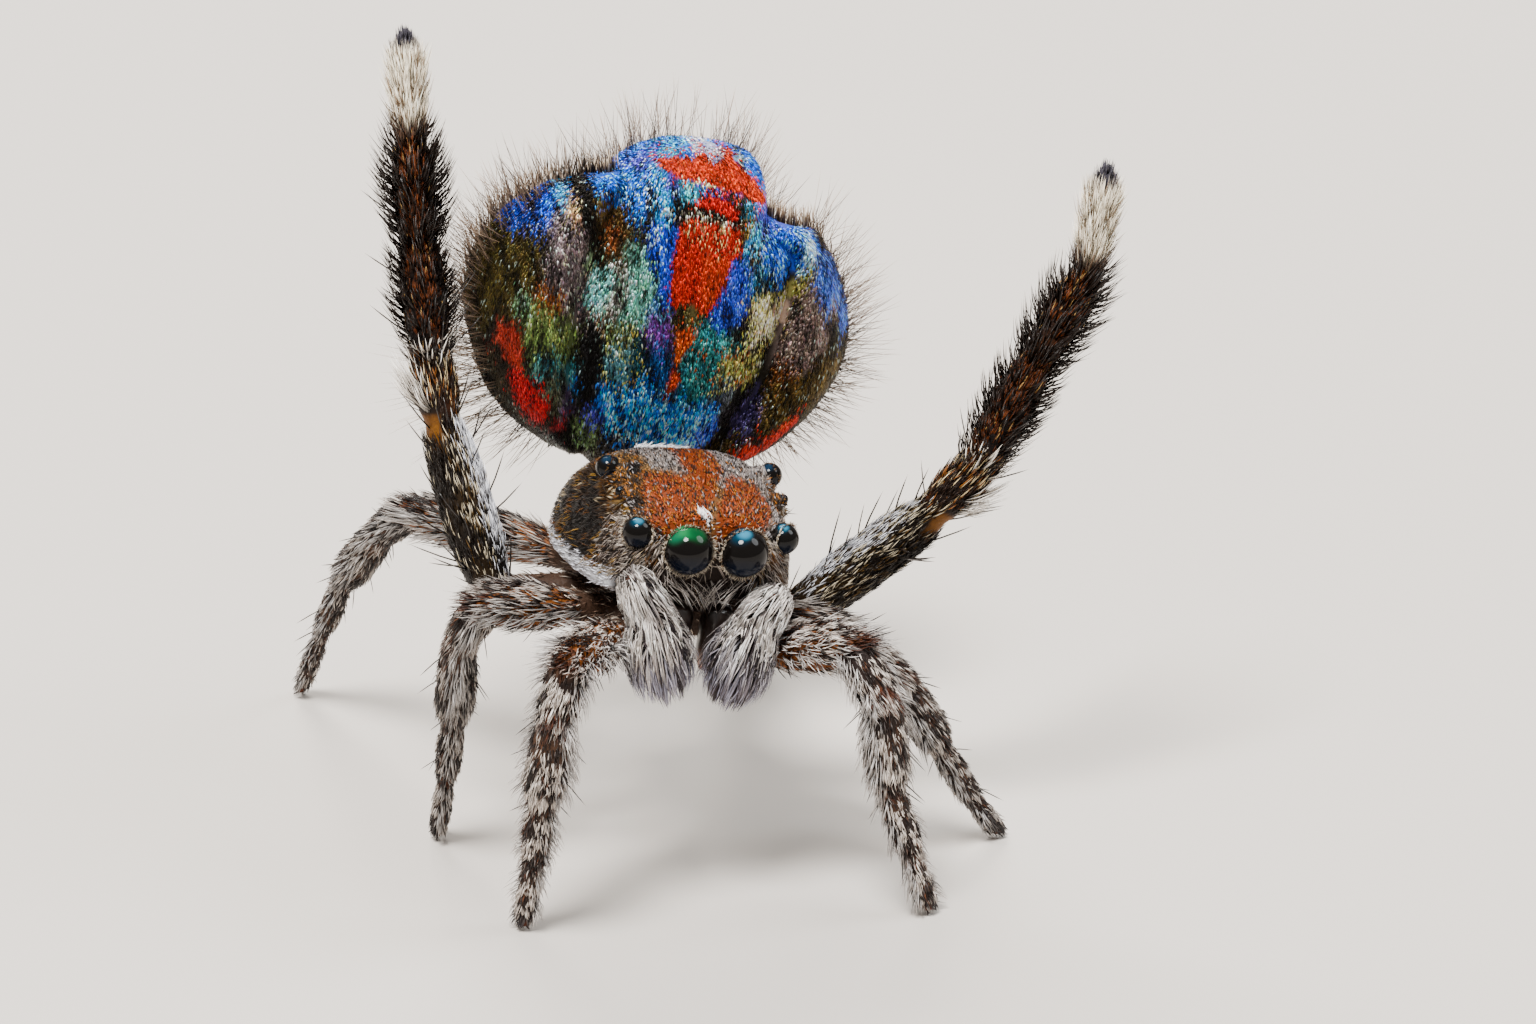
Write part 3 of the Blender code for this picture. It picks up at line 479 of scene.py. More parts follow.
def grid_object(name, place, sides, rings):
    """A grid primitive rolled up into a closed form by place(turn, run)."""
    bpy.ops.mesh.primitive_grid_add(x_subdivisions=sides, y_subdivisions=rings, size=2)
    made = bpy.context.object
    made.name = name
    flat = np.zeros(len(made.data.vertices) * 3)
    made.data.vertices.foreach_get("co", flat)
    flat = flat.reshape(-1, 3)
    placed = place((flat[:, 0] + 1) / 2, (flat[:, 1] + 1) / 2) + SHIFT
    made.data.vertices.foreach_set("co", placed.ravel())
    bpy.ops.object.mode_set(mode="EDIT")
    bpy.ops.mesh.select_all(action="SELECT")
    bpy.ops.mesh.remove_doubles(threshold=WELD)
    bpy.ops.mesh.select_all(action="DESELECT")
    bpy.ops.mesh.select_non_manifold()
    bpy.ops.mesh.fill_holes(sides=0)
    bpy.ops.mesh.select_all(action="SELECT")
    bpy.ops.mesh.normals_make_consistent(inside=False)
    bpy.ops.object.mode_set(mode="OBJECT")
    return made


def choose(pieces):
    """Selects these pieces alone, and makes the first one active."""
    bpy.ops.object.select_all(action="DESELECT")
    for piece in pieces:
        piece.select_set(True)
    bpy.context.view_layer.objects.active = pieces[0]


def coordinates(mesh):
    """Places of a mesh's vertices, one row for each."""
    flat = np.zeros(len(mesh.vertices) * 3)
    mesh.vertices.foreach_get("co", flat)
    return flat.reshape(-1, 3)


VOXEL = 0.0345
parts = []
for index, form in enumerate(FORMS):
    piece = grid_object("skin_form", form["place"], form["sides"], form["rings"])
    layer = piece.data.attributes.new("form", "INT", "FACE")
    layer.data.foreach_set("value", np.full(len(piece.data.polygons), index, np.int32))
    parts.append(piece)
choose(parts)
bpy.ops.object.join()
skin = bpy.context.object
skin.name = "skin"
owner = np.zeros(len(skin.data.polygons), np.int32)
skin.data.attributes["form"].data.foreach_get("value", owner)
form_tree = BVHTree.FromPolygons([tuple(v.co) for v in skin.data.vertices],
                                 [tuple(p.vertices) for p in skin.data.polygons])
remesh = skin.modifiers.new("one_surface", "REMESH")
remesh.mode = "VOXEL"
remesh.voxel_size = VOXEL
relax = skin.modifiers.new("relax", "SMOOTH")
relax.factor = 0.5
relax.iterations = 5
choose([skin])
for step in list(skin.modifiers):
    bpy.ops.object.modifier_apply(modifier=step.name)
skin_points = coordinates(skin.data)
skin_owner = np.array([owner[form_tree.find_nearest(Vector(p))[2]] for p in skin_points])
skin_tree = BVHTree.FromPolygons([tuple(p) for p in skin_points],
                                 [tuple(p.vertices) for p in skin.data.polygons])


# The markings. Skin and coat take their colours from the same functions of place, written
# for the head, the fan, the legs and the palps.
def tint(red, green, blue):
    """A colour given in screen values from 0 to 255, as the shader wants it."""
    values = np.array((red, green, blue)) / 255.0
    return np.where(values <= 0.04045, values / 12.92, ((values + 0.055) / 1.055) ** 2.4)


def evenly(count, *hue):
    """One colour, given in screen values, for each of count points."""
    return np.tile(tint(*hue), (count, 1))


def ripple(points, scale, seed=0):
    """Soft uneven values from about -1 to 1, for patches that aren't regular."""
    draw = np.random.default_rng(seed)
    total = np.zeros(len(points))
    for step in range(6):
        way = draw.normal(size=3)
        way = way / np.linalg.norm(way) * draw.uniform(0.7, 1.6) * scale
        total = total + np.sin(points @ way + draw.uniform(0, 6.28))
    return total / 2.4


def unit(vectors):
    """The same ways with a length of 1."""
    return vectors / np.maximum(np.linalg.norm(vectors, axis=-1, keepdims=True), 1e-9)


def blend(base, colour, share):
    """Colours that go from base to another colour by a share for each point."""
    return base + (colour - base) * share[:, None]


def inside(across, height, corners):
    """Distance inside an outline given by its corners, below 0 outside it."""
    outline = np.array(corners)
    low, high = outline.min(0) - 0.2, outline.max(0) + 0.2
    close = (across > low[0]) & (across < high[0]) & (height > low[1]) & (height < high[1])
    x, z = across[close], height[close]
    nearest = np.full(len(x), 9.0)
    within = np.zeros(len(x), bool)
    for (ax, az), (bx, bz) in zip(outline, np.roll(outline, -1, 0)):
        wide, tall = bx - ax, bz - az
        t = np.clip(((x - ax) * wide + (z - az) * tall) / (wide ** 2 + tall ** 2), 0, 1)
        nearest = np.minimum(nearest, np.hypot(x - ax - wide * t, z - az - tall * t))
        if tall != 0:
            crossed = ((az > z) != (bz > z)) & (x < ax + (z - az) / tall * wide)
            within = within ^ crossed
    depth = np.full(len(across), -9.0)
    depth[close] = np.where(within, nearest, -nearest)
    return depth


FAN_GROUND = tint(36, 32, 22)
# Each marking of the fan's face: colour, softness of its edge, and the corners of its outline
# in the fan frame as place across and height. Later ones lie over earlier ones.
FAN_MARKS = (
    (tint(28, 84, 196), .06, ((-1.10, 2.80), (-1.04, 3.1), (-.70, 3.5), (.0, 3.7), (.7, 3.5),
     (1.06, 3.1), (1.14, 2.50), (.84, 2.50), (.50, 2.90), (-.50, 3.02))),
    (tint(60, 52, 22), .08, ((-1.90, 2.15), (-1.66, 2.2), (-1.40, 2.22), (-1.42, 1.85),
     (-1.50, 1.62), (-1.66, 1.25), (-1.85, 1.35))),
    (tint(22, 62, 186), .05, ((-1.75, 2.24), (-1.74, 2.46), (-1.56, 2.64), (-1.35, 2.82),
     (-1.25, 2.80), (-1.26, 2.60), (-1.37, 2.36), (-1.44, 2.34), (-1.50, 2.20), (-1.58, 2.30),
     (-1.66, 2.16))),
    (tint(86, 76, 170), .05, ((-1.84, 2.26), (-1.74, 2.50), (-1.54, 2.72), (-1.40, 2.82),
     (-1.46, 2.68), (-1.62, 2.52), (-1.72, 2.34))),
    (tint(56, 150, 220), .03, ((-1.33, 2.80), (-1.25, 2.79), (-1.29, 2.50), (-1.37, 2.44))),
    (tint(40, 36, 40), .03, ((-1.57, 2.52), (-1.50, 2.50), (-1.50, 2.34), (-1.55, 2.34))),
    (tint(102, 90, 92), .06, ((-1.37, 2.42), (-1.28, 2.50), (-1.18, 2.40), (-1.08, 2.20),
     (-.97, 2.02), (-.92, 1.80), (-.88, 1.62), (-.84, 1.44), (-.95, 1.40), (-1.14, 1.60),
     (-1.20, 1.80), (-1.36, 1.95))),
    (tint(136, 76, 32), .05, ((-1.44, 1.78), (-1.30, 1.80), (-1.16, 1.70), (-1.20, 1.58),
     (-1.38, 1.62))),
    (tint(94, 112, 62), .08, ((-1.46, 1.58), (-1.30, 1.62), (-1.12, 1.60), (-1.0, 1.42),
     (-.92, 1.20), (-1.0, 1.08), (-1.20, 1.10), (-1.34, 1.24))),
    (tint(124, 168, 128), .03, ((-1.53, 1.64), (-1.43, 1.65), (-1.44, 1.53), (-1.53, 1.54))),
    (tint(54, 118, 124), .07, ((-1.20, 1.06), (-1.0, 1.10), (-.84, 1.10), (-.74, .98), (-.70, .86),
     (-.86, .80), (-1.0, .86))),
    (tint(88, 94, 74), .06, ((-1.10, .94), (-.94, .92), (-.80, .76), (-.80, .62), (-.94, .62),
     (-1.06, .74))),
    (tint(40, 110, 190), .04, ((-.83, .99), (-.74, .97), (-.71, .84), (-.80, .84))),
    (tint(84, 70, 100), .05, ((-.92, .82), (-.80, .80), (-.72, .62), (-.84, .56))),
    (tint(146, 44, 30), .025, ((-1.60, 1.30), (-1.52, 1.37), (-1.43, 1.31), (-1.38, 1.14),
     (-1.34, 1.0), (-1.46, .98), (-1.56, 1.12))),
    (tint(168, 24, 28), .025, ((-1.39, .96), (-1.28, .95), (-1.14, .82), (-1.02, .66), (-.98, .52),
     (-1.10, .50), (-1.24, .64), (-1.35, .80))),
    (tint(128, 38, 42), .03, ((-.91, .51), (-.80, .53), (-.77, .44), (-.88, .41))),
    (tint(104, 128, 84), .05, ((-.72, .52), (-.58, .54), (-.46, .44), (-.50, .34), (-.64, .38))),
    (tint(16, 14, 12), .04, ((-1.0, .46), (-.80, .42), (-.70, .42), (-.60, .34), (-.60, .20),
     (-.80, .18), (-.98, .30))),
    (tint(22, 96, 214), .06, ((-1.10, 2.88), (-.95, 3.0), (-.70, 3.14), (-.56, 3.16), (-.55, 3.02),
     (-.62, 2.80), (-.60, 2.52), (-.66, 2.46), (-.76, 2.62), (-.86, 2.72), (-1.02, 2.66),
     (-1.12, 2.74))),
    (tint(84, 84, 196), .05, ((-.80, 3.10), (-.56, 3.18), (-.53, 3.02), (-.70, 2.98))),
    (tint(64, 50, 24), .06, ((-1.06, 2.62), (-.90, 2.66), (-.76, 2.56), (-.68, 2.38), (-.60, 2.20),
     (-.72, 2.14), (-.84, 2.12), (-.95, 2.22), (-1.05, 2.42))),
    (tint(110, 60, 28), .04, ((-.90, 2.40), (-.80, 2.40), (-.78, 2.22), (-.88, 2.24))),
    (tint(26, 24, 24), .03, ((-.62, 2.87), (-.56, 2.87), (-.50, 2.5), (-.56, 2.36), (-.62, 2.5))),
    (tint(34, 140, 222), .03, ((-.58, 3.10), (-.50, 3.08), (-.42, 2.80), (-.38, 2.54), (-.46, 2.48),
     (-.53, 2.70))),
    (tint(70, 64, 158), .04, ((-.46, 3.02), (-.36, 2.98), (-.38, 2.84), (-.46, 2.86))),
    (tint(52, 142, 172), .04, ((-.36, 2.97), (-.18, 2.95), (-.18, 2.84), (-.34, 2.80))),
    (tint(30, 60, 190), .05, ((-.52, 2.54), (-.38, 2.58), (-.31, 2.40), (-.30, 2.15), (-.24, 1.90),
     (-.18, 1.76), (-.28, 1.70), (-.34, 1.90), (-.42, 2.10), (-.52, 2.25))),
    (tint(104, 104, 96), .06, ((-.76, 2.10), (-.64, 2.06), (-.62, 1.80), (-.66, 1.60), (-.80, 1.62),
     (-.76, 1.86))),
    (tint(120, 198, 192), .04, ((-.87, 1.98), (-.78, 2.03), (-.74, 1.86), (-.82, 1.66),
     (-.90, 1.66))),
    (tint(104, 172, 156), .07, ((-.66, 2.24), (-.56, 2.20), (-.42, 1.98), (-.38, 1.72),
     (-.36, 1.56), (-.50, 1.60), (-.60, 1.78), (-.62, 2.04))),
    (tint(92, 156, 210), .04, ((-.36, 1.82), (-.20, 1.78), (-.20, 1.67), (-.36, 1.64))),
    (tint(128, 104, 76), .05, ((-.82, 1.62), (-.64, 1.62), (-.58, 1.46), (-.74, 1.42))),
    (tint(96, 108, 68), .07, ((-.66, 1.56), (-.50, 1.66), (-.44, 1.40), (-.50, 1.20),
     (-.66, 1.26))),
    (tint(70, 112, 122), .08, ((-.64, 1.34), (-.50, 1.36), (-.34, 1.30), (-.24, 1.05), (-.30, .84),
     (-.46, .84), (-.60, 1.0))),
    (tint(14, 52, 62), .05, ((-.46, 1.50), (-.34, 1.46), (-.24, 1.20), (-.34, 1.06), (-.42, 1.30))),
    (tint(108, 54, 140), .05, ((-.34, 1.68), (-.18, 1.68), (-.12, 1.48), (-.22, 1.38),
     (-.32, 1.46))),
    (tint(20, 66, 120), .06, ((-.28, 1.44), (-.08, 1.42), (-.03, 1.10), (-.06, .90), (-.20, .90),
     (-.28, 1.15))),
    (tint(18, 122, 236), .06, ((-.58, .90), (-.42, .96), (-.26, 1.06), (-.12, .90), (-.02, .86),
     (.16, .98), (.34, .98), (.52, .84), (.56, .62), (.48, .40), (.30, .30), (.10, .40),
     (-.16, .42), (-.40, .48), (-.58, .66))),
    (tint(68, 68, 168), .05, ((-.64, .74), (-.52, .74), (-.42, .56), (-.54, .50))),
    (tint(30, 34, 46), .03, ((-.32, .58), (-.10, .54), (-.06, .46), (-.30, .46))),
    (tint(50, 78, 220), .05, ((.44, .76), (.60, .76), (.64, .52), (.50, .38), (.36, .46))),
    (tint(30, 96, 150), .07, ((.08, 1.26), (.30, 1.20), (.46, 1.12), (.40, .94), (.14, .94))),
    (tint(78, 86, 94), .07, ((.36, 1.16), (.56, 1.18), (.68, .98), (.60, .82), (.44, .88))),
    (tint(42, 124, 126), .08, ((.06, 1.66), (.22, 1.66), (.40, 1.60), (.56, 1.52), (.52, 1.30),
     (.44, 1.10), (.26, 1.04), (.10, 1.16), (.06, 1.36))),
    (tint(138, 138, 70), .07, ((.48, 1.42), (.66, 1.42), (.84, 1.36), (.80, 1.18), (.62, 1.16),
     (.48, 1.26))),
    (tint(44, 68, 200), .06, ((.26, 2.38), (.42, 2.34), (.48, 2.20), (.54, 2.04), (.50, 1.80),
     (.36, 1.60), (.20, 1.70), (.20, 1.96), (.24, 2.16))),
    (tint(40, 92, 122), .07, ((.50, 2.24), (.68, 2.22), (.82, 2.10), (.72, 1.98), (.54, 2.0))),
    (tint(76, 92, 208), .05, ((.42, 2.84), (.58, 2.88), (.70, 2.76), (.86, 2.60), (.80, 2.44),
     (.66, 2.58), (.52, 2.64), (.42, 2.70))),
    (tint(64, 164, 224), .04, ((.35, 2.64), (.46, 2.62), (.50, 2.44), (.42, 2.34), (.36, 2.44))),
    (tint(28, 76, 204), .06, ((.54, 2.52), (.70, 2.58), (.90, 2.58), (1.08, 2.48), (1.10, 2.24),
     (1.0, 2.12), (.84, 2.20), (.70, 2.16), (.54, 2.28))),
    (tint(48, 42, 44), .03, ((.50, 2.62), (.58, 2.60), (.58, 2.50), (.50, 2.52))),
    (tint(90, 74, 52), .03, ((.44, 2.40), (.52, 2.40), (.50, 2.28), (.43, 2.30))),
    (tint(140, 190, 236), .03, ((.90, 2.58), (1.04, 2.52), (1.10, 2.30), (1.03, 2.30),
     (.96, 2.44))),
    (tint(108, 92, 86), .07, ((1.0, 2.02), (1.10, 2.14), (1.26, 2.08), (1.42, 1.92), (1.46, 1.66),
     (1.34, 1.40), (1.14, 1.32), (.98, 1.34), (.94, 1.56), (.98, 1.8))),
    (tint(66, 96, 194), .06, ((1.14, 2.40), (1.26, 2.36), (1.48, 2.12), (1.68, 1.90), (1.80, 1.66),
     (1.68, 1.60), (1.50, 1.86), (1.30, 2.04), (1.14, 2.18))),
    (tint(70, 56, 24), .07, ((1.00, 1.28), (1.20, 1.30), (1.40, 1.40), (1.56, 1.56), (1.74, 1.56),
     (1.80, 1.25), (1.56, .95), (1.30, .78), (1.06, .66), (1.0, .86))),
    (tint(108, 62, 28), .05, ((1.0, 1.34), (1.20, 1.36), (1.22, 1.22), (1.02, 1.20))),
    (tint(72, 62, 106), .05, ((.90, 1.18), (1.0, 1.08), (1.0, .84), (.92, .56), (.78, .52),
     (.84, .80), (.90, 1.0))),
    (tint(26, 22, 28), .04, ((.78, 1.14), (.88, 1.10), (.84, .86), (.72, .66), (.60, .74),
     (.70, .98))),
    (tint(60, 48, 24), .05, ((.66, .52), (.84, .60), (.98, .56), (1.0, .44), (.80, .34),
     (.66, .38))),
    (tint(176, 34, 18), .03, ((.82, .36), (.96, .52), (1.10, .62), (1.22, .78), (1.38, .94),
     (1.40, .80), (1.26, .64), (1.12, .52), (1.0, .38), (.88, .30))),
    (tint(244, 230, 176), .035, ((.56, 1.97), (.74, 1.97), (.77, 1.84), (.62, 1.78))),
    (tint(246, 206, 176), .04, ((.84, 1.92), (.99, 1.92), (1.01, 1.76), (.88, 1.70))),
    (tint(246, 226, 176), .05, ((.62, 1.72), (.80, 1.82), (.93, 1.74), (.93, 1.54), (.78, 1.58),
     (.64, 1.60))),
    (tint(36, 38, 30), .03, ((.98, 2.24), (.82, 2.10), (.56, 2.04), (.56, 1.98), (.84, 2.03),
     (1.0, 2.14))),
    (tint(142, 136, 70), .03, ((1.12, 2.32), (1.05, 2.30), (.98, 2.12), (.84, 2.01), (.60, 1.98),
     (.60, 1.93), (.88, 1.93), (1.06, 2.04))),
    (tint(20, 17, 13), .025, ((-1.25, 2.84), (-1.12, 2.86), (-1.07, 2.56), (-.98, 2.24),
     (-.90, 2.03), (-1.01, 2.10), (-1.13, 2.35), (-1.22, 2.60))),
    (tint(18, 17, 17), .03, ((-.88, 1.52), (-.76, 1.50), (-.67, 1.36), (-.63, 1.10), (-.62, .74),
     (-.70, .74), (-.78, 1.0), (-.86, 1.25))),
    (tint(186, 152, 112), .02, ((-1.28, 2.62), (-1.22, 2.58), (-1.18, 2.40), (-1.24, 2.38))),
    (tint(150, 178, 136), .02, ((-1.03, 2.14), (-.95, 2.10), (-.91, 1.96), (-.98, 1.98))),
    (tint(24, 20, 14), .02, ((-.40, 2.76), (-.14, 2.77), (.05, 2.73), (.28, 2.71), (.29, 2.62),
     (.05, 2.65), (-.16, 2.67), (-.40, 2.64))),
    (tint(40, 34, 24), .02, ((-.12, 2.92), (.05, 2.94), (.16, 2.93), (.26, 2.84), (.27, 2.74),
     (.20, 2.80), (.10, 2.90))),
    (tint(54, 142, 172), .02, ((.27, 2.85), (.38, 2.82), (.38, 2.70), (.30, 2.70))),
    (tint(108, 88, 38), .02, ((.27, 2.66), (.40, 2.66), (.38, 2.54), (.31, 2.54))),
    (tint(184, 24, 16), .015, ((-.22, 2.79), (-.12, 2.855), (.0, 2.88), (.10, 2.865), (.19, 2.79),
     (.25, 2.70), (.14, 2.71), (.02, 2.745), (-.10, 2.77))),
    (tint(188, 48, 16), .02, ((-.56, 3.14), (-.46, 3.19), (-.37, 3.22), (-.22, 3.17), (-.18, 3.26),
     (-.12, 3.27), (-.06, 3.18), (.03, 3.20), (.08, 3.36), (.14, 3.36), (.18, 3.22), (.24, 3.18),
     (.36, 3.06), (.46, 2.98), (.55, 2.88), (.44, 2.86), (.33, 2.88), (.18, 2.94), (.02, 2.97),
     (-.24, 2.99), (-.38, 3.0), (-.50, 3.05))),
    (tint(56, 156, 230), .02, ((-.56, 3.20), (-.47, 3.28), (-.35, 3.37), (-.22, 3.45), (-.20, 3.34),
     (-.34, 3.25), (-.46, 3.21))),
    (tint(186, 190, 220), .02, ((-.20, 3.42), (-.06, 3.44), (.06, 3.40), (.05, 3.26), (-.04, 3.20),
     (-.10, 3.29), (-.20, 3.28))),
    (tint(140, 172, 186), .02, ((.19, 3.36), (.30, 3.31), (.27, 3.20), (.19, 3.25))),
    (tint(184, 34, 14), .018, ((-.31, 2.55), (-.26, 2.62), (-.17, 2.65), (-.06, 2.625), (.13, 2.63),
     (.27, 2.60), (.34, 2.46), (.24, 2.32), (.21, 2.13), (.19, 1.93), (.14, 1.80), (.02, 1.84),
     (-.04, 1.90), (-.20, 1.87), (-.24, 1.95), (-.29, 2.20))),
    (tint(190, 52, 18), .05, ((-.02, 2.40), (.24, 2.36), (.19, 2.13), (.17, 1.93), (.10, 1.84),
     (.0, 2.0))),
    (tint(84, 76, 38), .02, ((-.17, 1.86), (-.02, 1.87), (.12, 1.78), (.05, 1.66), (-.10, 1.68))),
    (tint(194, 72, 24), .02, ((-.09, 1.62), (.0, 1.65), (.10, 1.61), (.05, 1.46), (.0, 1.33),
     (-.04, 1.35), (-.04, 1.50))),
    (tint(186, 60, 22), .015, ((-.04, 1.24), (.03, 1.24), (.08, 1.14), (.03, 1.0), (-.01, .94),
     (-.02, 1.08))),
)
# Specks of another colour among the scales: colour, chance, and the corners of their field
FAN_SPECKS = (
    (tint(196, 154, 104), .30, ((-.30, 2.60), (-.16, 2.66), (.28, 2.62), (.33, 2.44), (.12, 2.32),
     (-.14, 2.40))),
    (tint(196, 196, 172), .55, ((-.46, 2.67), (-.30, 2.70), (-.14, 2.70), (.06, 2.66), (.26, 2.64),
     (.05, 2.63), (-.20, 2.64), (-.40, 2.60))),
    (tint(186, 190, 140), .45, ((-.32, 2.97), (-.08, 2.98), (.03, 2.95), (-.10, 2.91),
     (-.26, 2.90))),
    (tint(206, 196, 168), .10, ((-1.36, 2.40), (-1.20, 2.40), (-.90, 1.90), (-.84, 1.46),
     (-1.0, 1.44), (-1.30, 1.90))),
    (tint(180, 226, 196), .16, ((-.90, 2.10), (-.50, 2.20), (-.36, 1.56), (-.56, 1.26),
     (-.84, 1.50))),
    (tint(190, 176, 84), .14, ((-.68, 1.60), (-.40, 1.60), (-.26, 1.06), (-.40, .86), (-.62, 1.0))),
    (tint(140, 214, 255), .30, ((-.58, .90), (-.26, 1.04), (.16, .96), (.52, .82), (.50, .42),
     (.10, .40), (-.40, .48))),
    (tint(226, 206, 110), .26, ((.44, 2.0), (.80, 2.0), (1.0, 1.70), (.86, 1.18), (.36, 1.0),
     (.40, 1.40), (.56, 1.60))),
    (tint(166, 84, 40), .14, ((.10, 1.60), (.60, 1.50), (.86, 1.30), (.80, 1.15), (.20, 1.10))),
    (tint(150, 210, 250), .22, ((-1.10, 2.88), (-.56, 3.14), (-.38, 2.54), (-.44, 2.2),
     (-.60, 2.50))),
    (tint(120, 190, 246), .20, ((.34, 2.66), (1.06, 2.56), (1.10, 2.20), (.40, 2.10))),
    (tint(150, 160, 84), .10, ((-1.46, 1.60), (-1.10, 1.60), (-.90, 1.15), (-1.30, 1.20))),
)


def fan_place(points):
    """Place across and height on the fan's face; the height runs on over its rounded top."""
    x, y, z = from_fan(points).T
    over = np.clip((z - 2.4) / 0.4, 0, 1) * np.clip((0.95 - np.abs(x)) / 0.2, 0, 1)
    return x, z + 0.5 * np.maximum(0, y - 1.25) * over


def fan_behind(local, start):
    """0 on the fan's face, 1 on its back; over the rounded top the face reaches further."""
    top = .32 * ease(local[:, 2], 2.3, 2.8) * ease(1.15 - np.abs(local[:, 0]), 0, .15)
    behind = ease(local[:, 1] - fan_section(local[:, 2])[3] - top, start, start + .25)
    for side, table in FLAPS.items():
        low, high = table[0][0], table[-1][0]
        height = local[:, 2]
        # The sheet hangs lower at its edge, so its own height is found in a few steps
        for step in range(4):
            height = np.clip(height, low, high)
            section, root, edge = flap_span(side, height)
            s = np.clip((side * local[:, 0] - root) / np.maximum(edge - root, .05), 0, 1)
            height = local[:, 2] + flap_fall(height, s)
        gap = local[:, 1] - flap_middle(section, edge - root, s)
        flap = (side * local[:, 0] > root + .02) & (local[:, 2] < high)
        behind = np.where(flap, ease(gap, start - .09, start - .02), behind)
    return behind


def back_colour(local):
    """The grey brown of the fan's back."""
    return blend(evenly(len(local), 86, 70, 56), tint(44, 36, 30),
                 ease(ripple(local, 7, 5), -.3, .5))


def fan_colour(points):
    """Colour of the fan by place: the painted face in front, grey brown behind."""
    local = from_fan(points)
    across, height = fan_place(points)
    sideways, upward = ripple(local, 22, 3), ripple(local, 18, 4)
    colour = np.tile(FAN_GROUND, (len(points), 1))
    for mark, soft, corners in FAN_MARKS:
        depth = inside(across + sideways * soft * 0.5, height + upward * soft * 0.9, corners)
        colour = blend(colour, mark, ease(depth, -soft, soft * 0.4))
    return blend(colour, back_colour(local), fan_behind(local, .10))


def head_colour(points):
    """Colour of the carapace by place: rust and grey on top, dark sides, a white margin."""
    local = from_body(points)
    left, y, z = local.T
    top, margin = carapace_lines(y)
    uneven = ripple(local, 11, 6)
    colour = evenly(len(points), 22, 15, 10)
    gold = ease(z - 0.62 * top + 0.16 * uneven, 0, .20) * ease(y + .1 * uneven, -1.05, -.80)
    colour = blend(colour, tint(84, 54, 18), gold * 0.8)
    grey = ease(z - 0.82 * top + 0.05 * uneven, 0, .08)
    colour = blend(colour, tint(116, 84, 44), grey)
    pale = (ease(left + 0.05 * uneven, .10, .20)
            + ease(y + .1 * uneven, -.62, -.40) * ease(left + .05 * uneven, -.50, -.38))
    colour = blend(colour, tint(138, 128, 122), grey * np.clip(pale, 0, 1))
    reach = np.where(left < 0, .66, .56)
    rust = (ease(reach - np.abs(left) + 0.07 * uneven, 0, .07)
            * ease(z - (1.23 - .66 * reach) * top, 0, .05))
    aside = np.where(left < 0, ease(-left, .10, .20), ease(left, .18, .28))
    rear = ease(y + 0.10 * uneven, -.62, -.46) * aside
    path = left + .08 - .5 * (y + 1.1)
    stripe = ease(.06 - np.abs(path + .03 * uneven), 0, .04) * ease(-y, .35, .55)
    rust = rust * (1 - rear) * (1 - .85 * stripe) * ease(0.48 - y, 0, .06)
    colour = blend(colour, tint(132, 54, 8), np.clip(rust, 0, 1))
    face = ease(-y, 1.0, 1.08) * ease(.64 - z, 0, .08)
    colour = blend(colour, tint(36, 24, 18), face)
    spot = np.hypot(left + .56, y + .27) + 0.02 * uneven
    colour = blend(colour, tint(16, 11, 9), ease(.11 - spot, 0, .04) * ease(z, .6, .8))
    band = ease(.165 - (z - margin), 0, .02) * ease(y, -.95, -.85)
    colour = blend(colour, tint(226, 226, 232), band)
    return colour


def limb_way(form):
    """Way from the start of a length to its end."""
    return unit(form["end"] - form["start"])


def limb_share(points, form):
    """Place along a length, from 0 at its start to 1 at its end."""
    axis = form["end"] - form["start"]
    return (points - form["start"]) @ axis / (axis @ axis)


# Two colours that mix on each length of the raised legs, from the femur to the tarsus
RAISED_BASE = ((52, 38, 20), (88, 46, 18), (60, 32, 16), (66, 36, 16), (176, 152, 116))
RAISED_PATCH = ((22, 16, 12), (30, 18, 12), (22, 13, 10), (22, 13, 10), (206, 190, 160))


def leg_colour(points, form):
    """Mottled cream and brown, russet at the joints; the raised legs dark with pale tarsi."""
    share = limb_share(points, form)
    number = form["number"]
    uneven = ripple(points, 9, form["pair"])
    if form["pair"] == 3:
        base = blend(evenly(len(points), *RAISED_BASE[number]), tint(*RAISED_PATCH[number]),
                     ease(uneven, -.4, .5))
        if number == 4:
            base = blend(base, tint(58, 52, 56), ease(share, .84, .94))
        if number < 2:
            knee = ease(share, .84, .95) if number == 0 else ease(.20 - share, 0, .10)
            axis = form["end"] - form["start"]
            outward = unit(points - form["start"] - axis * share[:, None])
            knee = knee * ease(outward @ view_right * form["side"], -.2, .2)
            base = blend(base, tint(134, 84, 24), knee)
        return base
    base = blend(evenly(len(points), 92, 66, 50), tint(44, 32, 28), ease(uneven, -.4, .4))
    base = blend(base, tint(128, 70, 46), ease(np.abs(share - 0.5), .38, .46) * 0.7)
    if number == 0:
        base = blend(base, tint(168, 96, 36), np.full(len(points), .75))
    return base


def palp_colour(points, form):
    """Pinkish brown skin at the joints, dark grey between the pale hair."""
    share = limb_share(points, form)
    base = evenly(len(points), 44, 34, 34)
    return blend(base, tint(150, 104, 86), ease(np.abs(share - .5), .38, .50))


def skin_colour(kind, points, form):
    """Colour of the skin by the kind of form that it shows there."""
    if kind == "head":
        return head_colour(points)
    if kind in ("fan", "flap"):
        return fan_colour(points)
    if kind == "leg":
        return leg_colour(points, form)
    if kind == "palp":
        return palp_colour(points, form)
    return evenly(len(points), 70, 50, 38)


def paint(mesh, colours):
    """Stores one colour for each vertex, which the material reads."""
    layer = mesh.color_attributes.new("Colour", "FLOAT_COLOR", "POINT")
    values = np.ones((len(mesh.vertices), 4), np.float32)
    values[:, :3] = np.clip(colours, 0, 1)
    layer.data.foreach_set("color", values.ravel())
    mesh.color_attributes.active_color = layer


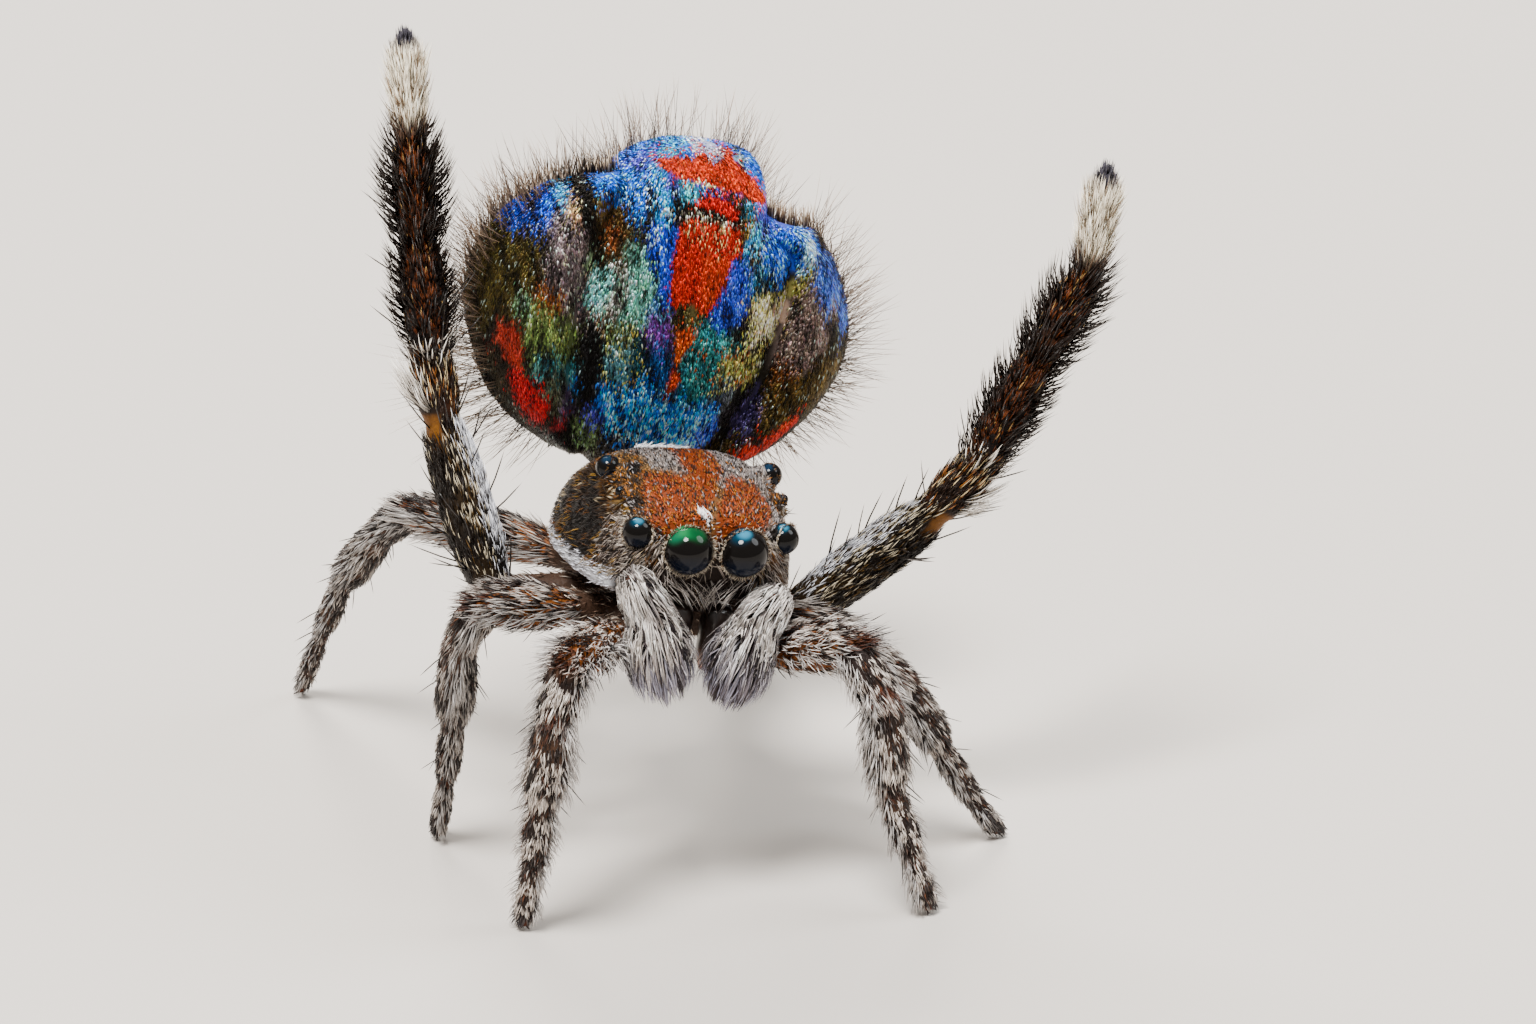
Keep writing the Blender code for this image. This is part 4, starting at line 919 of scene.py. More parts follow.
skin_colours = np.zeros((len(skin_points), 3))
for index, form in enumerate(FORMS):
    mine = skin_owner == index
    if mine.any():
        skin_colours[mine] = skin_colour(form["kind"], skin_points[mine] - SHIFT, form)
# The skin is darker than the coat, so that it reads as shade between the tufts
SKIN_SHADE = 0.55
paint(skin.data, skin_colours * SKIN_SHADE)


def grain_group():
    """Node group: a fine uneven shade and height for skin, scales and hairs."""
    group = bpy.data.node_groups.new("fine_grain", "ShaderNodeTree")
    for label, way, kind in (("Colour", "INPUT", "Color"), ("Scale", "INPUT", "Float"),
                             ("Amount", "INPUT", "Float"), ("Colour", "OUTPUT", "Color"),
                             ("Height", "OUTPUT", "Float")):
        group.interface.new_socket(label, in_out=way, socket_type=f"NodeSocket{kind}")
    nodes, links = group.nodes, group.links
    inward = nodes.new("NodeGroupInput")
    outward = nodes.new("NodeGroupOutput")
    place = nodes.new("ShaderNodeTexCoord")
    noise = nodes.new("ShaderNodeTexNoise")
    noise.inputs["Detail"].default_value = 4.0
    links.new(place.outputs["Object"], noise.inputs["Vector"])
    links.new(inward.outputs["Scale"], noise.inputs["Scale"])
    centred = nodes.new("ShaderNodeMath")
    centred.operation = "SUBTRACT"
    centred.inputs[1].default_value = 0.5
    links.new(noise.outputs["Fac"], centred.inputs[0])
    swing = nodes.new("ShaderNodeMath")
    swing.operation = "MULTIPLY_ADD"
    swing.inputs[2].default_value = 1.0
    links.new(centred.outputs[0], swing.inputs[0])
    links.new(inward.outputs["Amount"], swing.inputs[1])
    shade = nodes.new("ShaderNodeVectorMath")
    shade.operation = "SCALE"
    links.new(inward.outputs["Colour"], shade.inputs[0])
    links.new(swing.outputs[0], shade.inputs["Scale"])
    links.new(shade.outputs[0], outward.inputs["Colour"])
    links.new(noise.outputs["Fac"], outward.inputs["Height"])
    return group


fine_grain = grain_group()


def coat_material(name, roughness, metallic, scale, amount, bump=0.0, coat=0.0, specular=0.5):
    """A finish that takes its colour from the mesh and its unevenness from the grain."""
    made = bpy.data.materials.new(name)
    made.use_nodes = True
    nodes, links = made.node_tree.nodes, made.node_tree.links
    shader = nodes["Principled BSDF"]
    for label, value in (("Roughness", roughness), ("Metallic", metallic), ("Coat Weight", coat),
                         ("Coat Roughness", 0.08), ("Specular IOR Level", specular)):
        shader.inputs[label].default_value = value
    painted = nodes.new("ShaderNodeAttribute")
    painted.attribute_name = "Colour"
    grain = nodes.new("ShaderNodeGroup")
    grain.node_tree = fine_grain
    grain.inputs["Scale"].default_value = scale
    grain.inputs["Amount"].default_value = amount
    links.new(painted.outputs["Color"], grain.inputs["Colour"])
    links.new(grain.outputs["Colour"], shader.inputs["Base Color"])
    if bump:
        relief = nodes.new("ShaderNodeBump")
        relief.inputs["Strength"].default_value = bump
        relief.inputs["Distance"].default_value = 0.00002
        links.new(grain.outputs["Height"], relief.inputs["Height"])
        links.new(relief.outputs["Normal"], shader.inputs["Normal"])
    return made


def finish_piece(piece, finish, nodes=(), smooth=True):
    """Gives a piece its finish, scales it from millimetres and hands it to the frame."""
    piece.data.materials.append(finish)
    piece.data.transform(Matrix.Scale(MM, 4))
    if smooth:
        piece.data.shade_smooth()
    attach(piece, "root")
    if nodes:
        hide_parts(*nodes)


SEPARATE = ("eye_", "chelicera_")
flesh = [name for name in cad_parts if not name.startswith(SEPARATE)]
skin_finish = coat_material("skin_finish", 0.55, 0.0, 30000, 0.7, bump=0.6, specular=0.12)
finish_piece(skin, skin_finish, flesh)


# The eyes. Eight dark glossy lenses, domed and cut flat behind, the two great ones in front;
# the front ones have painted glints of green and teal near their upper edge, and all have a
# painted blue-grey reflection low down and painted shade towards their edge.

# Place, radius and fineness of each eye of the left side
EYES = {"eye_front_middle": (FRONT_EYE, .222, 64),
        "eye_front_side": ((.679, -.965, .685), .140, 48),
        "eye_small": ((.765, -.58, .90), .045, 24),
        "eye_back_side": ((.760, -.18, .955), .110, 40)}
# Painted glints, coloured reflections painted into the lens: place across and up on the lens, how
# near to it the glint starts, and its colour
GREEN_PAINTED_GLINTS = ((-.46, .62, .77, (12, 84, 56)), (.0, .76, .77, (16, 104, 58)),
                (.34, .64, .77, (6, 60, 30)))
TEAL_PAINTED_GLINTS = ((-.10, .60, .78, (8, 40, 56)), (.04, .68, .89, (44, 108, 134)))
DIM_PAINTED_GLINTS = ((-.1, .60, .78, (14, 34, 52)),)
eye_finish = coat_material("eye_lens", 0.06, 0.0, 9000, 0.25, specular=0.14)
to_up = view_up / np.linalg.norm(view_up)
for name, (place, radius, segments) in EYES.items():
    for side, word in SIDES:
        centre = in_body(mirrored(place, side)) + SHIFT
        bpy.ops.mesh.primitive_uv_sphere_add(segments=segments, ring_count=segments * 5 // 8,
                                             radius=radius, location=centre)
        eye = bpy.context.object
        eye.name = f"{name}_lens_{word}"
        bpy.ops.object.transform_apply(location=True, rotation=True, scale=True)
        bpy.ops.object.mode_set(mode="EDIT")
        bpy.ops.mesh.select_all(action="SELECT")
        behind = centre + np.array((0, radius * 0.72, 0))
        bpy.ops.mesh.bisect(plane_co=behind, plane_no=(0, 1, 0), use_fill=True,
                            clear_outer=True, threshold=0.0001)
        bpy.ops.mesh.normals_make_consistent(inside=False)
        bpy.ops.object.mode_set(mode="OBJECT")
        way = (coordinates(eye.data) - centre) / radius
        colour = evenly(len(way), 12, 10, 9)
        # Painted reflection: the lower part of the lens, as seen from the camera, is tinted
        # blue-grey.
        low = ease(-(way @ to_up), .20, .80)
        colour = blend(colour, tint(13, 19, 32), low)
        # Painted shade: the lens darkens towards its edge as seen from the camera.
        rim = ease(0.35 - way @ view_back, 0, .35)
        colour = blend(colour, tint(10, 14, 22), rim)
        painted_glints = TEAL_PAINTED_GLINTS if name.startswith("eye_front") else DIM_PAINTED_GLINTS
        if name == "eye_front_middle" and side < 0:
            painted_glints = GREEN_PAINTED_GLINTS
        # Each glint is a painted highlight, set on the lens by the camera's view.
        for shift, rise, near, hue in painted_glints:
            spot = view_back * 0.62 + to_up * rise + view_right * shift
            spot = spot / np.linalg.norm(spot)
            colour = blend(colour, tint(*hue), ease(way @ spot, near, 1.0) ** 2.4)
        paint(eye.data, colour)
        finish_piece(eye, eye_finish, [f"{name}_{word}"])


# The chelicerae. The two jaws under the face, amber brown and smooth, made of hard cuticle
# that narrows to the fangs.

# Place along a jaw, height, depth and radius
JAW_RINGS = ((.0, .05, -.98, .12), (.12, -.02, -1.00, .14), (.5, -.25, -1.01, .14),
             (.85, -.48, -1.00, .115), (1.0, -.60, -.99, .06))


def jaw_place(side):
    """One jaw, which hangs from the face and leans back towards its fang."""
    def place(turn, run):
        height, y, radius = interpolate(JAW_RINGS, run).T
        angle = 2 * np.pi * turn
        size = radius * closing(run, 0.04) * SNUG
        return in_body(np.stack([0.185 * side + size * np.cos(angle),
                                 y + size * np.sin(angle), height], 1))
    return place


jaw_finish = coat_material("jaw_cuticle", 0.28, 0.0, 12000, 0.8, bump=0.3, coat=0.4)
for side, word in SIDES:
    jaw = grid_object(f"jaw_{word}", jaw_place(side), 32, 28)
    depth = from_body(coordinates(jaw.data) - SHIFT)[:, 2]
    colour = evenly(len(depth), 26, 16, 12)
    paint(jaw.data, blend(colour, tint(116, 60, 26), ease(-depth, .32, .58)))
    finish_piece(jaw, jaw_finish, [f"chelicera_{word}"])


# Scales and hairs. Each coat is one mesh of many small closed tufts: a scale is a flat
# spindle with a low ridge, a hair a tapering three sided rod that bends to its tip.

# A root counts where the skin is as near as NEAR_SKIN, a hair where its tip is higher than
# OFF_FLOOR. The roots lie this deep in the skin; CHART_PATCH is the size of a tuft's chart
NEAR_SKIN = 0.045
OFF_FLOOR = 0.012
SCALE_DEPTH = 0.006
HAIR_DEPTH = 0.008
CHART_PATCH = 0.003


def sample(form, count, draw, keep=None, window=((0, 1), (0, 1)), ground=0.02):
    """Roots spread evenly over the part of a form that shows on the skin.

    Gives place, outward normal, the form's own direction along and its turn and run. keep
    is a function of place that gives the chance of a root there, window the span of turn and
    run, and ground the least height above the floor.
    """
    tries = count * 5
    turn = draw.uniform(*window[0], tries)
    run = draw.uniform(*window[1], tries)
    step = 0.002
    here = form["place"](turn, run)
    around = form["place"](np.clip(turn + step, 0, 1), run) - here
    onward = form["place"](turn, np.clip(run + step, 0, 1)) - here
    area = np.linalg.norm(np.cross(around, onward), axis=1)
    chance = np.minimum(area / np.quantile(area, 0.97), 1)
    if keep is not None:
        chance = chance * keep(here)
    picked = np.flatnonzero(draw.random(tries) < chance)[:count]
    places, normals, chosen = [], [], []
    for index in picked:
        point = Vector(here[index] + SHIFT)
        near, normal, face, gap = skin_tree.find_nearest(point)
        if gap < NEAR_SKIN and near.z > ground:
            places.append(near)
            normals.append(normal)
            chosen.append(index)
    chosen = np.array(chosen, int)
    places = np.array(places).reshape(-1, 3)
    normals = unit(np.array(normals).reshape(-1, 3))
    along = unit(onward[chosen])
    along = unit(along - normals * (along * normals).sum(1, keepdims=True))
    return dict(place=places, normal=normals, along=along, turn=turn[chosen], run=run[chosen],
                floor=places - SHIFT)


def gather(groups):
    """Several samples as one, with their charts side by side in the unit square."""
    cells = math.ceil(math.sqrt(len(groups)))
    joined = {}
    for index, group in enumerate(groups):
        corner = np.array((index % cells, index // cells), float)
        chart = np.stack([group["turn"], group["run"]], 1) * 0.92 + 0.04
        group["chart"] = (corner + chart) / cells
        for key, value in group.items():
            joined.setdefault(key, []).append(value)
    return {key: np.concatenate(value) for key, value in joined.items()}


def together(*lists):
    """Each list of arrays as one array."""
    return [np.concatenate(items) for items in lists]


def mesh_piece(name, points, faces, colours, charts):
    """A piece of triangles with a colour for each vertex and the patch map of its tufts."""
    mesh = bpy.data.meshes.new(name)
    mesh.vertices.add(len(points))
    mesh.vertices.foreach_set("co", points.astype(np.float32).ravel())
    mesh.loops.add(len(faces) * 3)
    mesh.loops.foreach_set("vertex_index", faces.astype(np.int32).ravel())
    mesh.polygons.add(len(faces))
    mesh.polygons.foreach_set("loop_start", np.arange(0, len(faces) * 3, 3, dtype=np.int32))
    mesh.update(calc_edges=True)
    mesh.validate()
    paint(mesh, colours)
    layer = mesh.uv_layers.new(name="OFBake")
    layer.data.foreach_set("uv", charts[faces.ravel()].astype(np.float32).ravel())
    item = bpy.data.objects.new(name, mesh)
    bpy.context.scene.collection.objects.link(item)
    return item


def scales(name, roots, ways, length, width, colours, lift):
    """Flat pointed scales: root, two edges, a ridge and a tip."""
    place, normal = roots["place"], roots["normal"]
    count = len(place)
    length = np.broadcast_to(length, count)[:, None]
    width = np.broadcast_to(width, count)[:, None]
    ways = unit(ways - normal * (ways * normal).sum(1, keepdims=True))
    across = np.cross(ways, normal)
    rise = np.broadcast_to(lift, count)[:, None]
    tip = unit(ways + normal * rise)
    middle = place + tip * length * 0.42
    points = np.stack([place - normal * SCALE_DEPTH, middle - across * width / 2,
                       middle + across * width / 2, middle + normal * width * 0.30,
                       place + tip * length], 1)
    order = np.array(((0, 1, 3), (0, 3, 2), (4, 3, 1), (4, 2, 3), (0, 2, 1), (4, 1, 2)))
    faces = (np.arange(count)[:, None, None] * 5 + order).reshape(-1, 3)
    spread = np.array(((0, -.5), (-.5, 0), (.5, 0), (0, .1), (0, .5))) * CHART_PATCH
    charts = (roots["chart"][:, None, :] + spread).reshape(-1, 2)
    # Painted shade at the root, where the scale meets the skin, and a lighter ridge and tip.
    painted_shading = np.array((0.55, 0.95, 0.95, 1.1, 1.15))
    shades = (colours[:, None, :] * painted_shading[:, None]).reshape(-1, 3)
    return mesh_piece(name, points.reshape(-1, 3), faces, shades, charts)


def hairs(name, roots, ways, length, width, bend, colours, steps=(0.0, 0.5), flat=0.7,
          painted_shading=(0.6, 1.0, 1.15)):
    """Tapering rods. ways is where each starts off to, bend how far its tip has swung."""
    place, normal = roots["place"], roots["normal"]
    count = len(place)
    length = np.broadcast_to(length, count)[:, None]
    width = np.broadcast_to(width, count)[:, None]
    ways = unit(ways)
    across = unit(np.cross(ways, normal + 0.01))
    flats = np.cross(across, ways)
    tips = place + ways * length + bend
    keep = tips[:, 2] > OFF_FLOOR
    rings = []
    for at in steps:
        depth = HAIR_DEPTH if at == 0 else 0
        centre = place + ways * length * at + bend * at ** 2 - normal * depth
        for side in range(3):
            angle = 2 * np.pi * side / 3 + 0.5
            offset = across * math.cos(angle) + flats * math.sin(angle) * flat
            rings.append(centre + offset * width / 2 * (1 - 0.45 * at ** 1.5))
    points = np.stack(rings + [tips], 1)[keep]
    last = len(steps) * 3
    order = [(0, 2, 1)]
    for ring in range(len(steps) - 1):
        for side in range(3):
            a, b = ring * 3 + side, ring * 3 + (side + 1) % 3
            order += [(a, b, b + 3), (a, b + 3, a + 3)]
    for side in range(3):
        order.append((last - 3 + side, last - 3 + (side + 1) % 3, last))
    size = last + 1
    total = len(points)
    faces = (np.arange(total)[:, None, None] * size + np.array(order)).reshape(-1, 3)
    spread = [((side - 1) * 0.4, at - 0.5) for at in steps for side in range(3)] + [(0, .5)]
    charts = (roots["chart"][keep][:, None, :] + np.array(spread) * CHART_PATCH).reshape(-1, 2)
    # Painted shade: each hair is darker at its root among the others and lighter towards its tip.
    shade = np.append(np.repeat(np.array(painted_shading[:len(steps)]), 3), painted_shading[-1])
    shades = (colours[keep][:, None, :] * shade[:, None]).reshape(-1, 3)
    return mesh_piece(name, points.reshape(-1, 3), faces, shades, charts)


def locks(draw, roots, ways, length, bends, share, pull):
    """Bends that draw neighbouring hairs together at their tips, and the leader of each."""
    tips = roots["place"] + unit(ways) * length[:, None] + bends
    leaders = draw.choice(len(tips), max(1, int(len(tips) * share)), replace=False)
    tree = KDTree(len(leaders))
    for number, leader in enumerate(leaders):
        tree.insert(tips[leader], number)
    tree.balance()
    own = leaders[[tree.find(tip)[1] for tip in tips]]
    return bends + (tips[own] - tips) * pull, own


def laid(ways, normals, lift):
    """Ways pressed onto the surface and then raised from it by lift."""
    flat = unit(ways - normals * (ways * normals).sum(1, keepdims=True))
    return flat + normals * np.reshape(lift, (-1, 1))


def scatter(draw, count, size):
    """Small random ways, to make neighbours differ."""
    return draw.normal(size=(count, 3)) * size


def mixed(draw, colours, other, chance):
    """Colours in which some tufts, by chance, have another one."""
    chosen = draw.random(len(colours)) < chance
    result = colours.copy()
    result[chosen] = other
    return result


def lively(draw, colours, spread):
    """Colours that differ a little in strength from tuft to tuft."""
    return colours * np.exp(draw.normal(size=len(colours)) * spread)[:, None]


def forms_of(kind, **facts):
    """The forms of a kind that have all of these facts."""
    return [form for form in FORMS if form["kind"] == kind
            and all(form.get(key) == value for key, value in facts.items())]


# The scales of the fan. Short glossy dashes that lie down the abdomen's upper side and its
# flaps, coloured by pigment and by the light they throw back, on a dark ground.
def down_the_fan(points):
    """Direction that the scales point in: down the fan, drawing in to its base."""
    local = from_fan(points)
    way = np.stack([-0.16 * local[:, 0], np.zeros(len(local)), -np.ones(len(local))], 1)
    return fan_way(way)


def in_front(points):
    """Chance of a scale on the face of the fan."""
    return 1 - fan_behind(from_fan(points), .05)


def red_share(points):
    """1 on the red and orange markings, whose edges are crisp."""
    across, height = fan_place(points)
    best = np.zeros(len(points))
    for mark, soft, corners in FAN_MARKS:
        if mark[0] > 3.2 * mark[1] + 0.05:
            best = np.maximum(best, ease(inside(across, height, corners), -.03, .02))
    return best


# The middle of a scale lies this far below its root
SCALE_REACH = 0.035


def mingled(points, red):
    """Colour of the fan's scales: neighbours mix where markings meet, most of all along it."""
    local = from_fan(points)
    number = len(points)
    steps = np.stack([draw.normal(size=number) * 0.020, np.zeros(number),
                      draw.normal(size=number) * 0.065], 1)
    steps[:, 2] = steps[:, 2] * (1 - 0.9 * red) - SCALE_REACH
    colour = fan_colour(in_fan(local + steps * (1 - 0.6 * red)[:, None]))
    across, height = fan_place(points)
    height = height - SCALE_REACH
    for speck, chance, corners in FAN_SPECKS:
        chosen = draw.random(number) < chance * ease(inside(across, height, corners), -.05, .03)
        colour[chosen] = speck
    glow = (colour.max(1) - colour.min(1))[:, None]
    return np.clip(colour * (1 + draw.normal(size=(number, 3)) * (0.06 + 0.22 * glow)), 0, 1)


scale_finish = coat_material("fan_scale", 0.30, 0.80, 60000, 0.5)
draw = np.random.default_rng(5)
for name, forms, count in (("fan_scales", forms_of("fan"), 37000),
                           ("flap_scales_left", forms_of("flap", side=1), 18000),
                           ("flap_scales_right", forms_of("flap", side=-1), 18000)):
    roots = gather([sample(form, count, draw, in_front) for form in forms])
    number = len(roots["place"])
    local = from_fan(roots["floor"])
    red = red_share(roots["floor"])
    colour = lively(draw, mingled(roots["floor"], red), 0.40)
    streak = (ripple(local * np.array((1.0, 0.4, 0.20)), 62, 9)
              + 0.7 * ripple(local * np.array((1.0, 0.4, 0.15)), 120, 12))
    colour = colour * np.exp(0.38 * (1 - 0.6 * red) * streak)[:, None]
    bright = ease(colour.max(1), .35, .85)
    dark = draw.random(number) < ((0.10 + 0.45 * ease(-streak, 0.1, 1.2)) * (1 - 0.5 * red)
                                  * (1 - .55 * bright))
    colour[dark] = colour[dark] * 0.12 + tint(20, 18, 14) * 0.5
    # A few scales are lightened towards pale green-white as painted glints.
    painted_glint_scale = ~dark & (draw.random(number) < 0.035 * (1 - red))
    colour[painted_glint_scale] = colour[painted_glint_scale] * 0.5 + tint(196, 222, 214) * 0.5
    way = down_the_fan(roots["floor"]) + scatter(draw, number, 0.16)
    piece = scales(name, roots, way, draw.uniform(.046, .078, number),
                   draw.uniform(.014, .020, number), colour * (1.25 + .35 * bright)[:, None],
                   lift=draw.uniform(.03, .34, number))
    finish_piece(piece, scale_finish, smooth=False)


# The coat of the carapace. Rust and grey-white scales on the top, gold and dark hairs on
# the sides, and a thick white band of short hairs along the lower margin.
def backwards(points, spread, draw):
    """Ways to the rear of the head, uneven by spread."""
    return np.tile((0.0, 1.0, 0.0), (len(points), 1)) + scatter(draw, len(points), spread)


def clear_of_eyes(points):
    """0 where an eye is, 1 outside it."""
    local = from_body(points)
    chance = np.ones(len(points))
    for place, radius, segments in EYES.values():
        for side in (1, -1):
            gap = np.linalg.norm(local - mirrored(place, side), axis=1)
            chance = chance * (gap > radius + 0.004)
    return chance


def upper_head(points):
    """Chance of a scale on the top of the carapace."""
    local = from_body(points)
    top, margin = carapace_lines(local[:, 1])
    return clear_of_eyes(points) * ease(local[:, 2] - 0.70 * top, 0, .12) * (local[:, 1] > -1.13)


head_finish = coat_material("head_scale", 0.40, 0.25, 60000, 0.5, specular=0.35)
heads = forms_of("head")
roots = gather([sample(form, 19000 if form["name"] == "carapace" else 900, draw, upper_head)
                for form in heads])
number = len(roots["place"])
base = head_colour(roots["floor"])
warm = base[:, 0] > 4 * base[:, 2]
colour = mixed(draw, lively(draw, base, 0.45), tint(144, 138, 138), np.where(warm, .09, .30))
colour = mixed(draw, colour, tint(150, 88, 14), np.where(warm, .22, .03))
colour = mixed(draw, colour * 0.92, tint(24, 14, 9), 0.31)
piece = scales("head_scales", roots, backwards(roots["place"], 0.35, draw),
               draw.uniform(.045, .075, number), draw.uniform(.012, .018, number), colour,
               lift=draw.uniform(.10, .35, number))
finish_piece(piece, head_finish, smooth=False)


def lower_head(points):
    """Chance of a hair on the sides of the carapace."""
    local = from_body(points)
    top, margin = carapace_lines(local[:, 1])
    clear = clear_of_eyes(points) * (local[:, 2] < 0.80 * top) * (local[:, 2] > margin + 0.12)
    return clear * (0.60 + 0.40 * ease(local[:, 2], .30, .60))


roots = gather([sample(form, 10500 if form["name"] == "carapace" else 600, draw, lower_head)
                for form in heads])
number = len(roots["place"])
local = from_body(roots["floor"])
colour = lively(draw, head_colour(roots["floor"]) * 0.8, 0.5)
patch = ripple(local, 6, 31) + .25 * ripple(local, 16, 33)
golden = .24 + .50 * patch + .30 * ease(local[:, 2], .45, .75)
gold = draw.random(number) < np.clip(golden, .03, .85)
colour[gold] = tint(112, 82, 30)
bronze = gold & (draw.random(number) < .4)
colour[bronze] = tint(88, 54, 18)
grey = draw.random(number) < np.clip(.06 + .16 * ripple(local, 8, 32), 0, .3)
colour[grey] = tint(150, 134, 108)
fore = ease(-local[:, 1], .50, .80) * ease(local[:, 2], .15, .35)
pale = draw.random(number) < fore * 0.55
colour[pale] = tint(156, 146, 136)
way = laid(backwards(roots["place"], 0.25, draw) + np.array((0, 0, -0.65)), roots["normal"],
           draw.uniform(.12, .36, number))
length = draw.uniform(.10, .18, number)
bend, own = locks(draw, roots, way, length, -roots["normal"] * 0.016, .16, .5)
led = draw.random(number) < .7
colour[led] = colour[own[led]]
piece = hairs("head_side_hairs", roots, way, length, draw.uniform(.009, .014, number), bend,
              lively(draw, colour, 0.3), painted_shading=(.35, 1.0, 1.25))
hair_finish = coat_material("fine_hair", 0.42, 0.0, 50000, 0.4, specular=0.22)
bristle_finish = coat_material("dark_bristle", 0.36, 0.0, 50000, 0.4, specular=0.18)
finish_piece(piece, hair_finish, smooth=False)


def margin_band(points):
    """1 in the white band along the lower margin of the carapace, 0 outside it."""
    local = from_body(points)
    top, margin = carapace_lines(local[:, 1])
    height = local[:, 2] - margin
    return (height < 0.165) * (height > -0.035) * (local[:, 1] > -0.93) * (local[:, 1] < 1.0)


roots = gather([sample(form, 7000, draw, margin_band) for form in heads
                if form["name"] == "carapace"])
number = len(roots["place"])
way = np.tile((0.0, 1.0, -0.22), (number, 1)) + scatter(draw, number, 0.08)
colour = lively(draw, evenly(number, 222, 222, 230), 0.12)
way = laid(way, roots["normal"], .20)
piece = hairs("margin_band", roots, way, draw.uniform(.10, .16, number),
              draw.uniform(.010, .015, number), -roots["normal"] * 0.018, colour,
              painted_shading=(.62, 1.0, 1.08))
finish_piece(piece, hair_finish, smooth=False)


# The hairs of the face. A thin pale ring stands round each eye, long cream hairs below the
# front eyes sweep in over the jaws, and white tufts sit between them and across the rear.
def rooted_at(points, normals):
    """Roots at given places of the body frame, each with its own patch of the chart."""
    places = in_body(points) + SHIFT
    chart = np.stack([points[:, 0] * 0.4 + 0.5, points[:, 1] * 0.3 + points[:, 2] * 0.2 + 0.5], 1)
    return dict(place=places, normal=unit(body_way(normals)), chart=np.clip(chart, .02, .98),
                floor=places - SHIFT)


def join_roots(groups):
    """Several sets of roots as one, each with the chart that it has."""
    return {key: np.concatenate([group[key] for group in groups]) for key in groups[0]}


# Way that each eye of the left side looks
LOOK = {"eye_front_middle": (0.10, -1.0, 0.05), "eye_front_side": (0.62, -0.78, 0.05),
        "eye_back_side": (0.90, 0.25, 0.35), "eye_small": (0.8, -0.2, 0.5)}
groups, ways, sizes, shades = [], [], [], []
for name, (place, radius, segments) in EYES.items():
    for side in (1, -1):
        count = int(60 + radius * 1600) if name.startswith("eye_front") else 40
        look = np.array(LOOK[name]) * np.array((side, 1, 1))
        look = look / np.linalg.norm(look)
        first = np.cross(look, (0, 0, 1.0))
        first = first / np.linalg.norm(first)
        second = np.cross(look, first)
        angle = draw.uniform(0, 2 * np.pi, count)
        out = first * np.cos(angle)[:, None] + second * np.sin(angle)[:, None]
        centre = mirrored(place, side)
        rim = 0.10 + 0.05 * draw.random(count)[:, None]
        groups.append(rooted_at(centre + (out * 0.975 + look * rim) * radius, out))
        ways.append(body_way(look * 0.35 + out * 0.50 + scatter(draw, count, 0.20)
                             + np.cross(look, out) * draw.normal(size=(count, 1)) * 0.6))
        sizes.append(np.full(count, 0.030 + radius * 0.11))
        hue = tint(186, 174, 156) if name.startswith("eye_front") else tint(104, 70, 26)
        shades.append(mixed(draw, np.tile(hue, (count, 1)), tint(80, 52, 26),
                            .2 + .5 * ease(out[:, 2], .2, .8)))
roots = join_roots(groups)
way, size, colour = together(ways, sizes, shades)
number = len(size)
colour = lively(draw, colour, 0.3)
piece = hairs("eye_rims", roots, way, size * draw.uniform(.7, 1.3, number),
              draw.uniform(.006, .009, number), -roots["normal"] * 0.004, colour)
finish_piece(piece, hair_finish, smooth=False)


def face_zone(points):
    """Chance of a long hair by place on the face: below and beside the front eyes."""
    local = from_body(points)
    y, z = local[:, 1], local[:, 2]
    low = (z > 0.10) * (z > .2 + .25 * (y + 1.1))
    return clear_of_eyes(points) * (y < -.55) * (z < .74) * low


groups = [sample(form, 700, draw, face_zone) for form in heads[1:]]
groups.append(sample(heads[0], 620, draw, face_zone, window=((0, 1), (0, .022))))
groups.append(sample(heads[0], 2000, draw, face_zone, window=((0, 1), (.022, .26))))
roots = gather(groups)
number = len(roots["place"])
local = from_body(roots["floor"])
low = ease(.46 - local[:, 2], 0, .12) * ease(.55 - np.abs(local[:, 0]), 0, .15)
inwards = np.stack([-2.4 * local[:, 0], np.full(number, -.25), np.full(number, -.30)], 1)
round_eye = np.stack([0.8 * np.sign(local[:, 0]), np.full(number, .35), np.full(number, -.6)], 1)
way = body_way(blend(round_eye, np.zeros(3), low) + inwards * low[:, None]
               + scatter(draw, number, 0.16))
colour = evenly(number, 140, 128, 120)
colour = blend(colour, tint(188, 180, 174), low)
colour = mixed(draw, lively(draw, colour, 0.35), tint(96, 72, 42), 0.12)
colour = mixed(draw, colour, tint(36, 26, 22), 0.42)
size = (.09 + .10 * low) * draw.uniform(.75, 1.25, number)
way = laid(way, roots["normal"], 0.34)
bend, own = locks(draw, roots, way, size,
                  body_way(np.tile((0, -.02, -.07), (number, 1))) * (size / .2)[:, None], .2, .45)
piece = hairs("face_hairs", roots, way, size, draw.uniform(.007, .011, number), bend, colour,
              steps=(0.0, .35, .7), painted_shading=(.45, .9, 1.1, 1.25))
finish_piece(piece, hair_finish, smooth=False)

